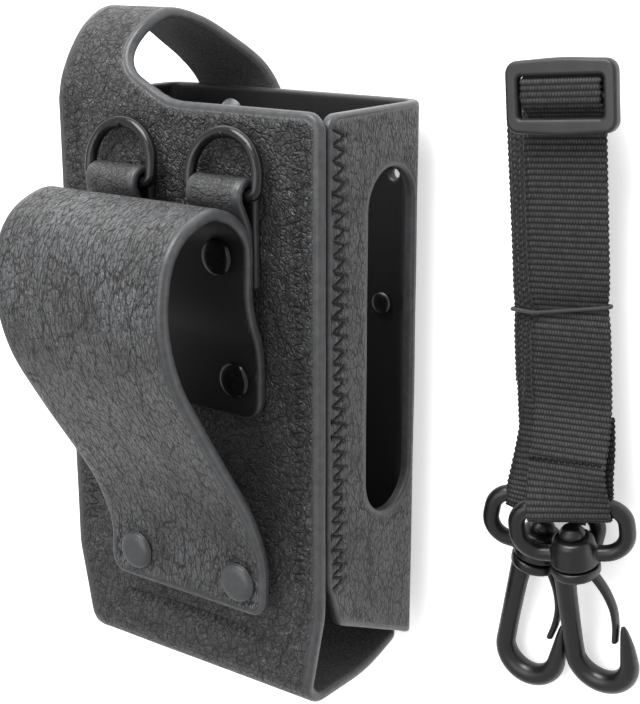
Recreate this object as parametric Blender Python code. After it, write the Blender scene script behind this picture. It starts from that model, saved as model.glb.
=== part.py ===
"""Leather holster for a hand-held two-way radio, with its shoulder strap.

The holster is drawn standing up: X to the right as seen from the back, Y from the back panel
towards the front, Z up, with the outer face of the back panel at Y = 0. One empty then lays
everything on its front, so the belt loop looks up and the folded strap lies beside the holster.
Lengths are written in millimetres and scaled by MM when a mesh or a place is made.
"""

import math

import bmesh
import bpy
from mathutils import Matrix, Vector

MM = 0.001

# Holster body
HALF_WIDTH = 42.0
RIM_HEIGHT = 149.0
LEATHER = 3.0
GAP = 0.3
FRONT_OUTER = 45.5
FOLD_RADIUS = 6.0
SIDE_REAR = LEATHER + 0.6
SLING_HALF_WIDTH = 38.0
TONGUE_HALF_WIDTH = 24.0
TONGUE_TOP = 27.0
TONGUE_OUTER = FRONT_OUTER + GAP + LEATHER
FRONT_BOTTOM = 8.2
WINDOW_Y = 30.0
WINDOW_LOW = 44.0
WINDOW_HIGH = 133.0
WINDOW_RADIUS = 10.0
LINING = 1.0
LINING_INNER = LEATHER + GAP + LINING

# Everything rests on this depth once the holster is laid down
TABLE = 50.8
CASE_X = -32.33
CASE_Y = -83.3

# Belt loop
LOOP_HALF_WIDTH = 27.0
LOOP_SHIFT = 3.0
LOOP_TOP = (-21.0, 128.4)
SNAP_HEIGHT = 31.0
SNAP_X = (-13.4, 20.9)
RIVET_X = 18.5
UPPER_RIVET = 114.6
LOWER_RIVET = 83.0

# D-rings
RING_X = 16.5
RING_WIRE = 1.5
RING_HALF_WIDTH = 10.25
RING_LEG = 4.0
RING_BAR_Z = 129.0
TAB_LEATHER = 2.2
TAB_INNER = 1.9
TAB_HALF_WIDTH = 8.25
TAB_BOTTOM = 106.0
RING_BAR_Y = -GAP - TAB_LEATHER - TAB_INNER
RING_LEAN = 8.5

# Strap over the radio's top
STRAP_ROOT = (5.3, 160.2)
STRAP_FRONT = (45.6, 155.2)
TOP_SNAP = (-8.0, 124.0)

# Shoulder strap set, in a frame of its own that leans a little
SET_X = 89.35
SET_Z = 60.0
SET_LEAN = 4.6
WEB_HALF_WIDTH = 10.2
WEB_THICK = 1.05
HANK_TOP_Y = 40.1
HANK_SHIFT = 10.8
HANK_LOW = 2.0
HANK_HIGH = 95.5
TIE_Z = 41.0
TIE_SLANT = 0.13
TIE_WIRE = 0.5
WAIST = 1.4
SLIDER_LOW = 84.0
SLIDER_X = 1.0
SLIDER_HALF_WIDTH = 14.0
SLIDER_HEIGHT = 16.4
SLIDER_TOP_Y = 35.2
SLIDER_THICK = 3.0
SLIDER_BAR = (37.5, 92.1)

# Swivel hooks
EYE_WIRE = 2.1
EYE_HALF_WIDTH = 13.4
EYE_DROP = 13.3
EYE_CORNER = 5.0
TUNNEL = EYE_WIRE + 0.9
UPPER_BAR = (0.5, 36.0, -6.0)
UPPER_TURN = (12.6, 2.0, 19.0)
LOWER_BAR = (-8.8, 43.1, -8.4)
LOWER_TURN = (4.8, 17.0, 19.0)
GATE_ROOT = (4.9, -19.6)

BLACK_LEATHER = ("leather", (0.070, 0.072, 0.076, 1.0), 0.55, 0.0)
LINING_LEATHER = ("lining", (0.020, 0.020, 0.022, 1.0), 0.80, 0.0)
BLACK_PAINT = ("painted_wire", (0.030, 0.031, 0.033, 1.0), 0.30, 0.6)
SNAP_PAINT = ("snap_paint", (0.100, 0.102, 0.106, 1.0), 0.35, 0.5)
BRIGHT_STEEL = ("bright_steel", (0.550, 0.550, 0.560, 1.0), 0.25, 1.0)
BLACK_PLASTIC = ("black_plastic", (0.028, 0.028, 0.030, 1.0), 0.40, 0.0)
WEBBING = ("webbing", (0.022, 0.022, 0.024, 1.0), 0.85, 0.0)
ELASTIC = ("elastic", (0.040, 0.040, 0.042, 1.0), 0.70, 0.0)


def clear_scene():
    for old in list(bpy.data.objects):
        bpy.data.objects.remove(old, do_unlink=True)


# ---------------------------------------------------------------- outlines and paths


def arc_path(corners, closed=True, step=18.0):
    """Points along straight runs joined by arcs; each corner is (a, b, radius)."""
    points = []
    count = len(corners)
    for index, (a, b, radius) in enumerate(corners):
        here = Vector((a, b))
        at_end = not closed and index in (0, count - 1)
        if at_end or radius == 0.0:
            points.append((a, b))
            continue
        before = (Vector(corners[index - 1][:2]) - here).normalized()
        after = (Vector(corners[(index + 1) % count][:2]) - here).normalized()
        half = before.angle(after) / 2
        centre = here + (before + after).normalized() * radius / math.sin(half)
        reach = radius / math.tan(half)
        start = here + before * reach - centre
        sweep = (here + before * reach - centre).angle_signed(here + after * reach - centre)
        steps = max(2, round(math.degrees(abs(sweep)) / step))
        for turn in range(steps + 1):
            spoke = Matrix.Rotation(-sweep * turn / steps, 2) @ start
            points.append(tuple(centre + spoke))
    return points


def smooth_path(knots, per_span=4):
    """Points of a Catmull-Rom curve through the knots."""
    points = []
    padded = [knots[0], *knots, knots[-1]]
    for p0, p1, p2, p3 in zip(padded, padded[1:], padded[2:], padded[3:]):
        for part in range(per_span):
            t = part / per_span
            points.append(
                tuple(
                    0.5 * (2 * b + (c - a) * t + (2 * a - 5 * b + 4 * c - d) * t**2
                           + (3 * b - a - 3 * c + d) * t**3)
                    for a, b, c, d in zip(p0, p1, p2, p3)
                )
            )
    return points + [tuple(knots[-1])]


def lengths_along(path):
    """Distance from the start of a path to each of its points."""
    total = [0.0]
    for here, there in zip(path, path[1:]):
        total.append(total[-1] + math.dist(here, there))
    return total


def split_path(path, knot, gap=GAP):
    """Split a path halfway along the run after a knot: what comes before, the hinge, what follows."""
    marks = lengths_along(path)
    index = path.index(knot) + 1
    start, end = Vector(path[index - 1]), Vector(path[index])
    middle = (start + end) / 2
    half_gap = (end - start).normalized() * gap / 2
    before = path[:index] + [tuple(middle - half_gap)]
    after = [tuple(middle + half_gap), *path[index:]]
    return before, tuple(middle), after, (marks[index - 1] + marks[index]) / 2


# ---------------------------------------------------------------- solids


def make_node(name, bm, finish, parent, at=(0.0, 0.0, 0.0), turn=(0.0, 0.0, 0.0), smooth=False):
    """Turn a mesh drawn in millimetres into a named object with its own material."""
    bmesh.ops.recalc_face_normals(bm, faces=bm.faces)
    bmesh.ops.scale(bm, vec=(MM, MM, MM), verts=bm.verts)
    mesh = bpy.data.meshes.new(name)
    bm.to_mesh(mesh)
    bm.free()
    if smooth:
        mesh.shade_smooth()
        mesh.set_sharp_from_angle(angle=math.radians(35))
    label, colour, roughness, metallic = finish
    material = bpy.data.materials.new(f"{name}_{label}")
    material.use_nodes = True
    shader = material.node_tree.nodes["Principled BSDF"]
    shader.inputs["Base Color"].default_value = colour
    shader.inputs["Roughness"].default_value = roughness
    shader.inputs["Metallic"].default_value = metallic
    mesh.materials.append(material)
    node = bpy.data.objects.new(name, mesh)
    bpy.context.scene.collection.objects.link(node)
    node.parent = parent
    node.location = Vector(at) * MM
    node.rotation_euler = [math.radians(angle) for angle in turn]
    return node


def make_empty(name, parent, at=(0.0, 0.0, 0.0), turn=(0.0, 0.0, 0.0)):
    empty = bpy.data.objects.new(name, None)
    bpy.context.scene.collection.objects.link(empty)
    empty.parent = parent
    empty.location = Vector(at) * MM
    empty.rotation_euler = [math.radians(angle) for angle in turn]
    return empty


def combine(node, others, operation, solver="EXACT"):
    """Join other closed meshes into a node, or cut them out of it."""
    for other in others:
        other.hide_render = True
        other.hide_viewport = False
        other.display_type = "WIRE"
        step = node.modifiers.new(other.name, "BOOLEAN")
        step.operation = operation
        step.solver = solver
        step.object = other
    bpy.context.view_layer.update()
    graph = bpy.context.evaluated_depsgraph_get()
    result = bpy.data.meshes.new_from_object(node.evaluated_get(graph), depsgraph=graph)
    node.modifiers.clear()
    node.data = result
    for other in others:
        bpy.data.objects.remove(other, do_unlink=True)


def from_pivot(pivot, point=(0.0, 0.0, 0.0)):
    """A point of the holster's frame as seen from a hinge at pivot, a (y, z) pair."""
    return Vector(point) - Vector((0.0, *pivot))


def tool(name, bm, parent, at=(0.0, 0.0, 0.0), turn=(0.0, 0.0, 0.0)):
    return make_node(name, bm, LINING_LEATHER, parent, at, turn)


def loft(rings, capped=True):
    """A skin over rings of equally many points, with its two ends filled."""
    bm = bmesh.new()
    rows = [[bm.verts.new(point) for point in ring] for ring in rings]
    count = len(rows[0])
    pairs = list(zip(rows, rows[1:]))
    if not capped:
        pairs.append((rows[-1], rows[0]))
    for low, high in pairs:
        for k in range(count):
            nxt = (k + 1) % count
            bm.faces.new((low[k], low[nxt], high[nxt], high[k]))
    if capped:
        bm.faces.new(rows[0])
        bm.faces.new(rows[-1])
    return bm


def prism(outline, low, high, place):
    """An outline carried from one level to another; place(a, b, level) gives the point."""
    return loft([[place(a, b, level) for a, b in outline] for level in (low, high)])


def across_x(y, z, x):
    return (x, y, z)


def across_y(x, z, y):
    return (x, y, z)


def across_z(x, y, z):
    return (x, y, z)


def turned(profile, sides=16):
    """A body turned about its own Z axis from (radius, height) points, ends on the axis."""
    bm = bmesh.new()
    rows = []
    for radius, height in profile:
        if radius == 0.0:
            rows.append([bm.verts.new((0.0, 0.0, height))])
            continue
        angles = [math.tau * k / sides for k in range(sides)]
        rows.append(
            [bm.verts.new((radius * math.cos(a), radius * math.sin(a), height)) for a in angles]
        )
    for low, high in zip(rows, rows[1:]):
        for k in range(sides):
            nxt = (k + 1) % sides
            corners = (low[k % len(low)], low[nxt % len(low)], high[nxt % len(high)], high[k % len(high)])
            bm.faces.new(dict.fromkeys(corners))
    return bm


def rod(radius, low, high, sides=16):
    return turned([(0.0, low), (radius, low), (radius, high), (0.0, high)], sides)


def wire(path, radii, sides=8, closed=False, flat=1.0):
    """A round bar along a path in the XZ plane; flat scales its depth along Y."""
    rings = []
    count = len(path)
    for index, (x, z) in enumerate(path):
        before = path[index - 1] if index or closed else path[0]
        after = path[(index + 1) % count] if index < count - 1 or closed else path[-1]
        along = Vector((after[0] - before[0], 0.0, after[1] - before[1])).normalized()
        side = Vector((along.z, 0.0, -along.x))
        radius = radii[index] if isinstance(radii, list) else radii
        ring = []
        for k in range(sides):
            angle = math.tau * k / sides
            offset = side * math.cos(angle) + Vector((0.0, flat * math.sin(angle), 0.0))
            ring.append(Vector((x, 0.0, z)) + offset * radius)
        rings.append(ring)
    return loft(rings, capped=not closed)


def bent_sheet(outline, fold, thickness, place):
    """A flat cut outline, (across, along) points, bent along a fold path.

    The fold is the path of the sheet's outer face; a positive thickness grows to its left.
    place(a, b, across) turns a point of the fold's plane into a point in space.
    """
    marks = lengths_along(fold)
    flat = bmesh.new()
    flat.faces.new([flat.verts.new((across, along, 0.0)) for across, along in outline])
    for mark in marks[1:-1]:
        parts = flat.verts[:] + flat.edges[:] + flat.faces[:]
        bmesh.ops.bisect_plane(
            flat, geom=parts, dist=1e-4, plane_co=(0.0, mark, 0.0), plane_no=(0.0, 1.0, 0.0)
        )
    normals = []
    for index in range(len(fold)):
        sides = []
        for low, high in ((index - 1, index), (index, index + 1)):
            if low >= 0 and high < len(fold):
                run = (Vector(fold[high]) - Vector(fold[low])).normalized()
                sides.append(Vector((-run.y, run.x)))
        mean = sum(sides, Vector((0.0, 0.0))).normalized()
        normals.append(mean / mean.dot(sides[0]))

    def lay(across, along, depth):
        index = 1
        while index < len(marks) - 1 and along > marks[index] + 1e-3:
            index += 1
        share = (along - marks[index - 1]) / (marks[index] - marks[index - 1])
        here = Vector(fold[index - 1]).lerp(Vector(fold[index]), share)
        out = normals[index - 1].lerp(normals[index], share)
        return place(*(here + out * depth), across)

    solid = bmesh.new()
    layers = []
    for depth in (0.0, thickness):
        layers.append({v: solid.verts.new(lay(v.co.x, v.co.y, depth)) for v in flat.verts})
    for face in flat.faces:
        for layer in layers:
            solid.faces.new([layer[v] for v in face.verts])
    for edge in flat.edges:
        if edge.is_boundary:
            a, b = edge.verts
            solid.faces.new((layers[0][a], layers[0][b], layers[1][b], layers[1][a]))
    flat.free()
    return solid


# ---------------------------------------------------------------- fasteners


def dome(radius, base, height, flat_radius=0.0, steps=3):
    """Profile of a low domed cap from its base up to the axis."""
    points = [(0.0, base), (radius, base), (radius, base + 0.25 * height)]
    for k in range(1, steps + 1):
        angle = math.radians(90.0 * k / steps)
        ring = flat_radius + (radius - flat_radius) * math.cos(angle)
        points.append((ring, base + height * (0.25 + 0.75 * math.sin(angle))))
    if flat_radius:
        points[-1] = (flat_radius, base + height)
        points.append((0.0, base + height))
    else:
        points[-1] = (0.0, base + height)
    return points


def rivet_profile(grip, cap_radius, cap_height, flat_radius, tail_radius):
    """A rivet through a pack of leather: outer face at 0, inner face at -grip."""
    low = -grip - GAP
    stem = [(0.0, low - 0.9), (tail_radius, low - 0.9), (tail_radius, low), (1.7, low), (1.7, GAP)]
    return stem + dome(cap_radius, GAP, cap_height, flat_radius)[1:]


def backward(x, z, y=0.0):
    """Place and turn of a fastener whose cap looks out of the back."""
    return {"at": (x, y, z), "turn": (90.0, 0.0, 0.0)}


def forward(x, z, y):
    """Place and turn of a fastener whose cap looks out of the front."""
    return {"at": (x, y, z), "turn": (-90.0, 0.0, 0.0)}


def pierce(name, node, parent, holes):
    """Cut round holes along Y; each hole is (x, z, radius, low y, high y)."""
    tools = [
        tool(f"{name}_hole_{k}", rod(radius, -high, -low), parent, **backward(x, z))
        for k, (x, z, radius, low, high) in enumerate(holes)
    ]
    combine(node, tools, "DIFFERENCE")


# ---------------------------------------------------------------- holster leather


def back_path():
    """Outer face from the tongue's tip, under the pocket, up the back and over the top."""
    lower = arc_path(
        [
            (TONGUE_OUTER, TONGUE_TOP, 0.0),
            (TONGUE_OUTER, 3.7, 6.0),
            (27.0, -3.0, 40.0),
            (0.0, -2.8, 7.5),
            (0.0, 40.0, 0.0),
        ],
        closed=False,
    )
    upper = smooth_path(
        [
            (0.0, 147.0),
            (1.4, 153.0),
            STRAP_ROOT,
            (10.9, 166.2),
            (19.0, 169.6),
            (29.5, 167.2),
            (38.2, 161.6),
            STRAP_FRONT,
            (49.2, 148.0),
            (49.3, 139.0),
            (49.3, 112.0),
        ]
    )
    return lower, upper


def build_back(case):
    """Back panel, with the bottom sling and the root of the top strap, and the top strap."""
    lower, upper = back_path()
    path = lower + upper
    marks = lengths_along(path)
    foot = marks[len(lower) - 1]

    def height(z):
        return foot + z - 40.0

    rim = height(RIM_HEIGHT)
    sling_front = TONGUE_TOP - 3.7 + 4.0
    root_fold, pivot, strap_fold, hinge = split_path(path, STRAP_ROOT)
    corners = [
        (TONGUE_HALF_WIDTH, 0.0, 6.0),
        (TONGUE_HALF_WIDTH, sling_front, 2.0),
        (SLING_HALF_WIDTH, sling_front, 5.0),
        (SLING_HALF_WIDTH, height(2.0), 20.0),
        (HALF_WIDTH, height(24.0), 20.0),
        (HALF_WIDTH, rim, 4.5),
        (-4.0, rim, 16.0),
        (-21.6, height(157.6), 5.0),
        (-21.9, hinge - GAP / 2, 0.0),
        (-41.3, hinge - GAP / 2, 0.0),
        (-HALF_WIDTH, height(147.0), 30.0),
        (-HALF_WIDTH, height(24.0), 20.0),
        (-SLING_HALF_WIDTH, height(2.0), 20.0),
        (-SLING_HALF_WIDTH, sling_front, 5.0),
        (-TONGUE_HALF_WIDTH, sling_front, 2.0),
        (-TONGUE_HALF_WIDTH, 0.0, 6.0),
    ]
    panel = make_node(
        "back_panel",
        bent_sheet(arc_path(corners), root_fold, -LEATHER, across_x),
        BLACK_LEATHER,
        case,
    )
    through = (-1.0, LEATHER + 1.0)
    holes = [(side * RIVET_X, z, 2.0, *through) for side in (-1, 1) for z in (UPPER_RIVET, LOWER_RIVET)]
    holes += [(x, SNAP_HEIGHT, 1.8, *through) for x in SNAP_X]
    holes += [(side * 19.0, 16.0, 2.0, FRONT_OUTER - 1.0, TONGUE_OUTER + 1.0) for side in (-1, 1)]
    holes.append((12.0, 146.2, 1.8, 1.2, LEATHER + 1.0))
    pierce("panel", panel, case, holes)

    hinge_empty = make_empty("top_strap_hinge", case, (0.0, *pivot))
    front = marks[path.index(STRAP_FRONT)] - hinge
    end = lengths_along(strap_fold)[-1]
    corners = [
        (-21.9, 0.0, 0.0),
        (-17.5, front * 0.55, 40.0),
        (-9.5, front, 60.0),
        (3.5, end - 4.0, 10.0),
        (-6.0, end, 12.0),
        (-19.5, end - 4.0, 10.0),
        (-38.0, front, 60.0),
        (-41.3, front * 0.45, 60.0),
        (-41.3, 0.0, 0.0),
    ]
    outline = arc_path(corners, step=18.0)
    strap_bm = bent_sheet(outline, strap_fold, -LEATHER, across_x)
    strap = make_node("top_strap", strap_bm, BLACK_LEATHER, hinge_empty, from_pivot(pivot))
    x, z = TOP_SNAP
    inner = 49.3 - LEATHER
    seat = tool("seat", rod(4.9, -inner - 1.4, -inner + 0.5), case, **backward(x, z))
    stem = tool("stem", rod(1.9, -52.0, -inner), case, **backward(x, z))
    combine(strap, [seat, stem], "DIFFERENCE")
    return hinge_empty, pivot


def build_side_wrap(case):
    """Front panel and both side panels, one piece of leather folded at the front corners."""
    path = arc_path(
        [
            (-HALF_WIDTH, SIDE_REAR, 0.0),
            (-HALF_WIDTH, FRONT_OUTER, FOLD_RADIUS),
            (HALF_WIDTH, FRONT_OUTER, FOLD_RADIUS),
            (HALF_WIDTH, SIDE_REAR, 0.0),
        ],
        closed=False,
    )
    path.reverse()
    total = lengths_along(path)[-1]
    half = [
        (0.0, RIM_HEIGHT - 1.0, 4.0),
        (0.0, 32.0, 6.0),
        (5.2, 18.9, 4.0),
        (41.0, 2.4, 1.2),
        (43.8, FRONT_BOTTOM, 1.2),
    ]
    corners = [(z, s, r) for s, z, r in half]
    corners += [(z, total - s, r) for s, z, r in reversed(half)]
    wrap = make_node(
        "front_side_wrap",
        bent_sheet(arc_path(corners), path, LEATHER, lambda x, y, z: (x, y, z)),
        BLACK_LEATHER,
        case,
    )
    half_round = [(WINDOW_Y - WINDOW_RADIUS, WINDOW_LOW), (WINDOW_Y + WINDOW_RADIUS, WINDOW_LOW)]
    half_round += [(WINDOW_Y + WINDOW_RADIUS, WINDOW_HIGH), (WINDOW_Y - WINDOW_RADIUS, WINDOW_HIGH)]
    slot = arc_path([(y, z, WINDOW_RADIUS - 0.01) for y, z in half_round], step=12.0)
    windows = tool("windows", prism(slot, -HALF_WIDTH - 5, HALF_WIDTH + 5, across_x), case)
    face = arc_path([(-23, 38, 6), (23, 38, 6), (23, 110, 6), (-23, 110, 6)])
    opening = tool("opening", prism(face, FRONT_OUTER - 8, FRONT_OUTER + 5, across_y), case)
    combine(wrap, [windows, opening], "DIFFERENCE")
    low, high = FRONT_OUTER - LEATHER - 1.0, FRONT_OUTER + 1.0
    holes = [(side * 19.0, 16.0, 2.0, low, high) for side in (-1, 1)]
    holes += [(side * 31.0, 95.0, 2.0, low, high) for side in (-1, 1)]
    holes += [(side * 34.0, 129.0, 1.1, low, high) for side in (-1, 1)]
    holes.append((*TOP_SNAP, 1.8, low, high))
    holes.append((*TOP_SNAP, 3.6, FRONT_OUTER - 0.5, high))
    pierce("wrap", wrap, case, holes)


def build_lining(case):
    """Smooth liner of the back and the two angle strips that the seams are sewn through."""
    outline = [(-29.5, 9.0), (29.5, 9.0), (29.5, 147.6), (-29.5, 147.6)]
    low = LEATHER + GAP
    lining = make_node("back_lining", prism(outline, low, low + LINING, across_y), LINING_LEATHER, case)
    through = (LEATHER - 0.5, LINING_INNER + 1.0)
    holes = [(side * RIVET_X, z, 2.0, *through) for side in (-1, 1) for z in (UPPER_RIVET, LOWER_RIVET)]
    holes += [(x, SNAP_HEIGHT, 1.8, *through) for x in SNAP_X]
    holes.append((12.0, 146.2, 1.9, *through))
    pierce("lining", lining, case, holes)
    inner = HALF_WIDTH - LEATHER - GAP
    for side, label in ((-1, "left"), (1, "right")):
        angle = [(inner, low), (inner, 14.0), (inner - 1.5, 14.0), (inner - 1.5, low + 1.5)]
        angle += [(29.9, low + 1.5), (29.9, low)]
        shape = prism([(side * x, y) for x, y in angle], 32.0, 146.0, across_z)
        make_node(f"corner_strip_{label}", shape, LINING_LEATHER, case)


# ---------------------------------------------------------------- belt loop


def loop_path():
    """Outer face of the belt loop from the flap's lower end over the top to the base's end."""
    return smooth_path(
        [
            (-6.2, 22.7),
            (-6.2, 29.0),
            (-6.2, 36.0),
            (-8.3, 43.0),
            (-13.5, 54.0),
            (-26.0, 74.5),
            (-34.2, 89.5),
            (-37.8, 102.0),
            (-37.6, 112.0),
            (-35.0, 120.0),
            (-29.6, 125.4),
            LOOP_TOP,
            (-15.0, 127.3),
            (-10.6, 124.9),
            (-7.4, 121.6),
            (-5.6, 118.0),
            (-5.3, 113.0),
            (-5.3, 105.5),
            (-4.1, 100.0),
            (-1.4, 93.5),
            (-GAP, 87.0),
            (-GAP, 80.0),
            (-GAP, 73.5),
        ],
        per_span=3,
    )


def build_belt_loop(case):
    """The flap that unsnaps and the base that is riveted to the back panel."""
    path = loop_path()
    flap_fold, pivot, base_fold, hinge = split_path(path, LOOP_TOP)
    hinge_empty = make_empty("belt_flap_hinge", case, (0.0, *pivot))
    low, high = LOOP_SHIFT - 26.0, LOOP_SHIFT + 26.0
    outline = arc_path(
        [
            (low, 0.0, 4.5),
            (high, 0.0, 4.5),
            (high, 30.0, 120.0),
            (LOOP_HALF_WIDTH, hinge * 0.6, 120.0),
            (LOOP_HALF_WIDTH, hinge - GAP / 2, 0.0),
            (-LOOP_HALF_WIDTH, hinge - GAP / 2, 0.0),
            (-LOOP_HALF_WIDTH, hinge * 0.6, 120.0),
            (low, 30.0, 120.0),
        ]
    )
    flap_bm = bent_sheet(outline, flap_fold, -LEATHER, across_x)
    flap = make_node("belt_loop_flap", flap_bm, BLACK_LEATHER, hinge_empty, from_pivot(pivot))
    pierce("flap", flap, case, [(x, SNAP_HEIGHT, 1.9, -8.0, -1.0) for x in SNAP_X])
    end = lengths_along(base_fold)[-1]
    outline = arc_path(
        [
            (-LOOP_HALF_WIDTH, 0.0, 0.0),
            (LOOP_HALF_WIDTH, 0.0, 0.0),
            (26.0, end, 5.0),
            (-26.0, end, 5.0),
        ]
    )
    base = make_node(
        "belt_loop_base",
        bent_sheet(outline, base_fold, -LEATHER, across_x),
        BLACK_LEATHER,
        case,
    )
    holes = [(side * RIVET_X, z, 2.0, -12.0, 0.5) for side in (-1, 1) for z in (UPPER_RIVET, LOWER_RIVET)]
    pierce("base", base, case, holes)
    return hinge_empty, pivot


def build_rivets(case):
    """Four rivets of the belt loop, two of the tongue, two of the front, one at the rim."""
    for side, label in ((-1, "left"), (1, "right")):
        upper_face, lower_face = 9.0, GAP + LEATHER
        upper = turned(rivet_profile(upper_face + LINING_INNER, 4.5, 1.1, 1.5, 3.6))
        make_node(
            f"upper_rivet_{label}", upper, BLACK_PAINT, case, smooth=True,
            **backward(side * RIVET_X, UPPER_RIVET, -upper_face),
        )
        lower = turned(rivet_profile(lower_face + LINING_INNER, 4.5, 1.1, 1.5, 3.6))
        make_node(
            f"lower_rivet_{label}", lower, BLACK_PAINT, case, smooth=True,
            **backward(side * RIVET_X, LOWER_RIVET, -lower_face),
        )
        tongue = turned(rivet_profile(TONGUE_OUTER - FRONT_OUTER + LEATHER, 4.8, 1.7, 2.6, 3.8))
        make_node(
            f"tongue_rivet_{label}", tongue, SNAP_PAINT, case, smooth=True,
            **forward(side * 19.0, 16.0, TONGUE_OUTER),
        )
        front = turned(rivet_profile(LEATHER, 3.8, 1.1, 1.5, 3.6))
        make_node(
            f"front_rivet_{label}", front, BRIGHT_STEEL, case, smooth=True,
            **forward(side * 31.0, 95.0, FRONT_OUTER),
        )
    stud = [(0.0, -2.6), (1.5, -2.6), (1.5, GAP)] + dome(3.6, GAP, 1.2)[1:]
    make_node(
        "rim_stud", turned(stud), BRIGHT_STEEL, case, smooth=True,
        **forward(12.0, 146.2, LINING_INNER),
    )


# ---------------------------------------------------------------- snap fasteners


def cap_profile(stem, radius, height, flat_radius):
    """Snap cap: a dome outside the leather and the stem that goes through it."""
    return [(0.0, -stem), (1.6, -stem), (1.6, GAP)] + dome(radius, GAP, height, flat_radius)[1:]


def socket_profile(height, outer, cavity, depth):
    """Snap socket: a cup whose mouth looks along +Z, with its back at 0."""
    return [
        (0.0, 0.0),
        (outer - 0.5, 0.0),
        (outer, 0.5),
        (outer, height - 0.4),
        (outer - 0.4, height),
        (cavity, height),
        (cavity, height - depth),
        (0.0, height - depth),
    ]


def stud_profile(flange, nub, rise):
    """Snap stud: flange on the leather and the nub that clicks into the socket."""
    return [
        (0.0, 0.0),
        (flange, 0.0),
        (flange, 0.5),
        (nub - 0.3, 0.5),
        (nub, 0.4 * rise + 0.3),
        (nub - 0.4, rise),
        (0.0, rise),
    ]


def post_profile(stem, head):
    """Snap post: head on the inside of the leather, stem through it."""
    return [(0.0, -0.8), (head, -0.8), (head, 0.0), (1.4, 0.0), (1.4, stem), (0.0, stem)]


def build_belt_snaps(case, hinge, pivot):
    """Two snaps that hold the belt flap's lower end down."""
    for x, label in zip(SNAP_X, ("left", "right")):
        face = -6.2
        cap_at = from_pivot(pivot, (x, face, SNAP_HEIGHT))
        socket_at = from_pivot(pivot, (x, face + LEATHER + GAP, SNAP_HEIGHT))
        cap = turned(cap_profile(2.6, 5.2, 1.5, 2.2))
        make_node(f"belt_snap_cap_{label}", cap, SNAP_PAINT, hinge, cap_at, (90, 0, 0), True)
        socket = turned(socket_profile(2.0, 4.6, 2.7, 1.5))
        make_node(f"belt_snap_socket_{label}", socket, BRIGHT_STEEL, hinge, socket_at, (-90, 0, 0), True)
        stud = turned(stud_profile(3.4, 2.1, 1.8))
        make_node(
            f"belt_snap_stud_{label}", stud, BRIGHT_STEEL, case, smooth=True,
            **backward(x, SNAP_HEIGHT, -GAP),
        )
        post = turned(post_profile(LINING_INNER + GAP - 0.2, 3.6))
        make_node(
            f"belt_snap_post_{label}", post, BRIGHT_STEEL, case, smooth=True,
            **backward(x, SNAP_HEIGHT, LINING_INNER + GAP),
        )


def build_top_snap(case, hinge, pivot):
    """The snap that closes the top strap on the front panel."""
    x, z = TOP_SNAP
    outer = 49.3
    inner = outer - LEATHER
    cap = turned(cap_profile(1.2, 5.2, TABLE - outer - GAP, 2.6))
    cap_at = from_pivot(pivot, (x, outer, z))
    make_node("top_snap_cap", cap, SNAP_PAINT, hinge, cap_at, (-90, 0, 0), True)
    socket = turned(socket_profile(1.4, 4.5, 3.7, 1.1))
    seat = from_pivot(pivot, (x, inner + 1.1, z))
    make_node("top_snap_socket", socket, BRIGHT_STEEL, hinge, seat, (90, 0, 0), True)
    stud = turned(stud_profile(3.3, 2.0, 1.2))
    make_node(
        "top_snap_stud", stud, BRIGHT_STEEL, case, smooth=True,
        **forward(x, z, FRONT_OUTER - 0.2),
    )
    post = turned(post_profile(2.5, 3.6))
    make_node(
        "top_snap_post", post, BRIGHT_STEEL, case, smooth=True,
        **forward(x, z, FRONT_OUTER - LEATHER - GAP),
    )


# ---------------------------------------------------------------- D-rings


def build_d_rings(case):
    """Two wire D-rings, each held by a folded leather tab under the belt loop's base."""
    top = RING_BAR_Z + TAB_INNER + TAB_LEATHER
    outer = -GAP - 2 * (TAB_INNER + TAB_LEATHER)
    fold = arc_path(
        [
            (-GAP, TAB_BOTTOM, 0.0),
            (-GAP, top, 4.09),
            (outer, top, 4.09),
            (outer, 127.5, 3.0),
            (-GAP - 2 * TAB_LEATHER - GAP, 120.5, 6.0),
            (-GAP - 2 * TAB_LEATHER - GAP, TAB_BOTTOM, 0.0),
        ],
        closed=False,
    )
    length = lengths_along(fold)[-1]
    rings = []
    for side, label in ((-1, "left"), (1, "right")):
        centre = side * RING_X
        low, high = centre - TAB_HALF_WIDTH, centre + TAB_HALF_WIDTH
        outline = [(low, 0.0), (high, 0.0), (high, length), (low, length)]
        tab = make_node(
            f"d_ring_tab_{label}", bent_sheet(outline, fold, TAB_LEATHER, across_x), BLACK_LEATHER, case
        )
        pierce(f"tab_{label}", tab, case, [(side * RIVET_X, UPPER_RIVET, 2.0, -6.0, 0.5)])
        corners = [
            (-RING_HALF_WIDTH, 0.0, 2.0),
            (RING_HALF_WIDTH, 0.0, 2.0),
            (RING_HALF_WIDTH, RING_LEG + RING_HALF_WIDTH, RING_HALF_WIDTH - 0.01),
            (-RING_HALF_WIDTH, RING_LEG + RING_HALF_WIDTH, RING_HALF_WIDTH - 0.01),
        ]
        ring = wire(arc_path(corners, step=18.0), RING_WIRE, closed=True)
        rings.append(
            make_node(
                f"d_ring_{label}", ring, BLACK_PAINT, case,
                (centre, RING_BAR_Y, RING_BAR_Z), (-RING_LEAN, 0.0, 0.0), True,
            )
        )
    return rings


# ---------------------------------------------------------------- shoulder strap


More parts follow.
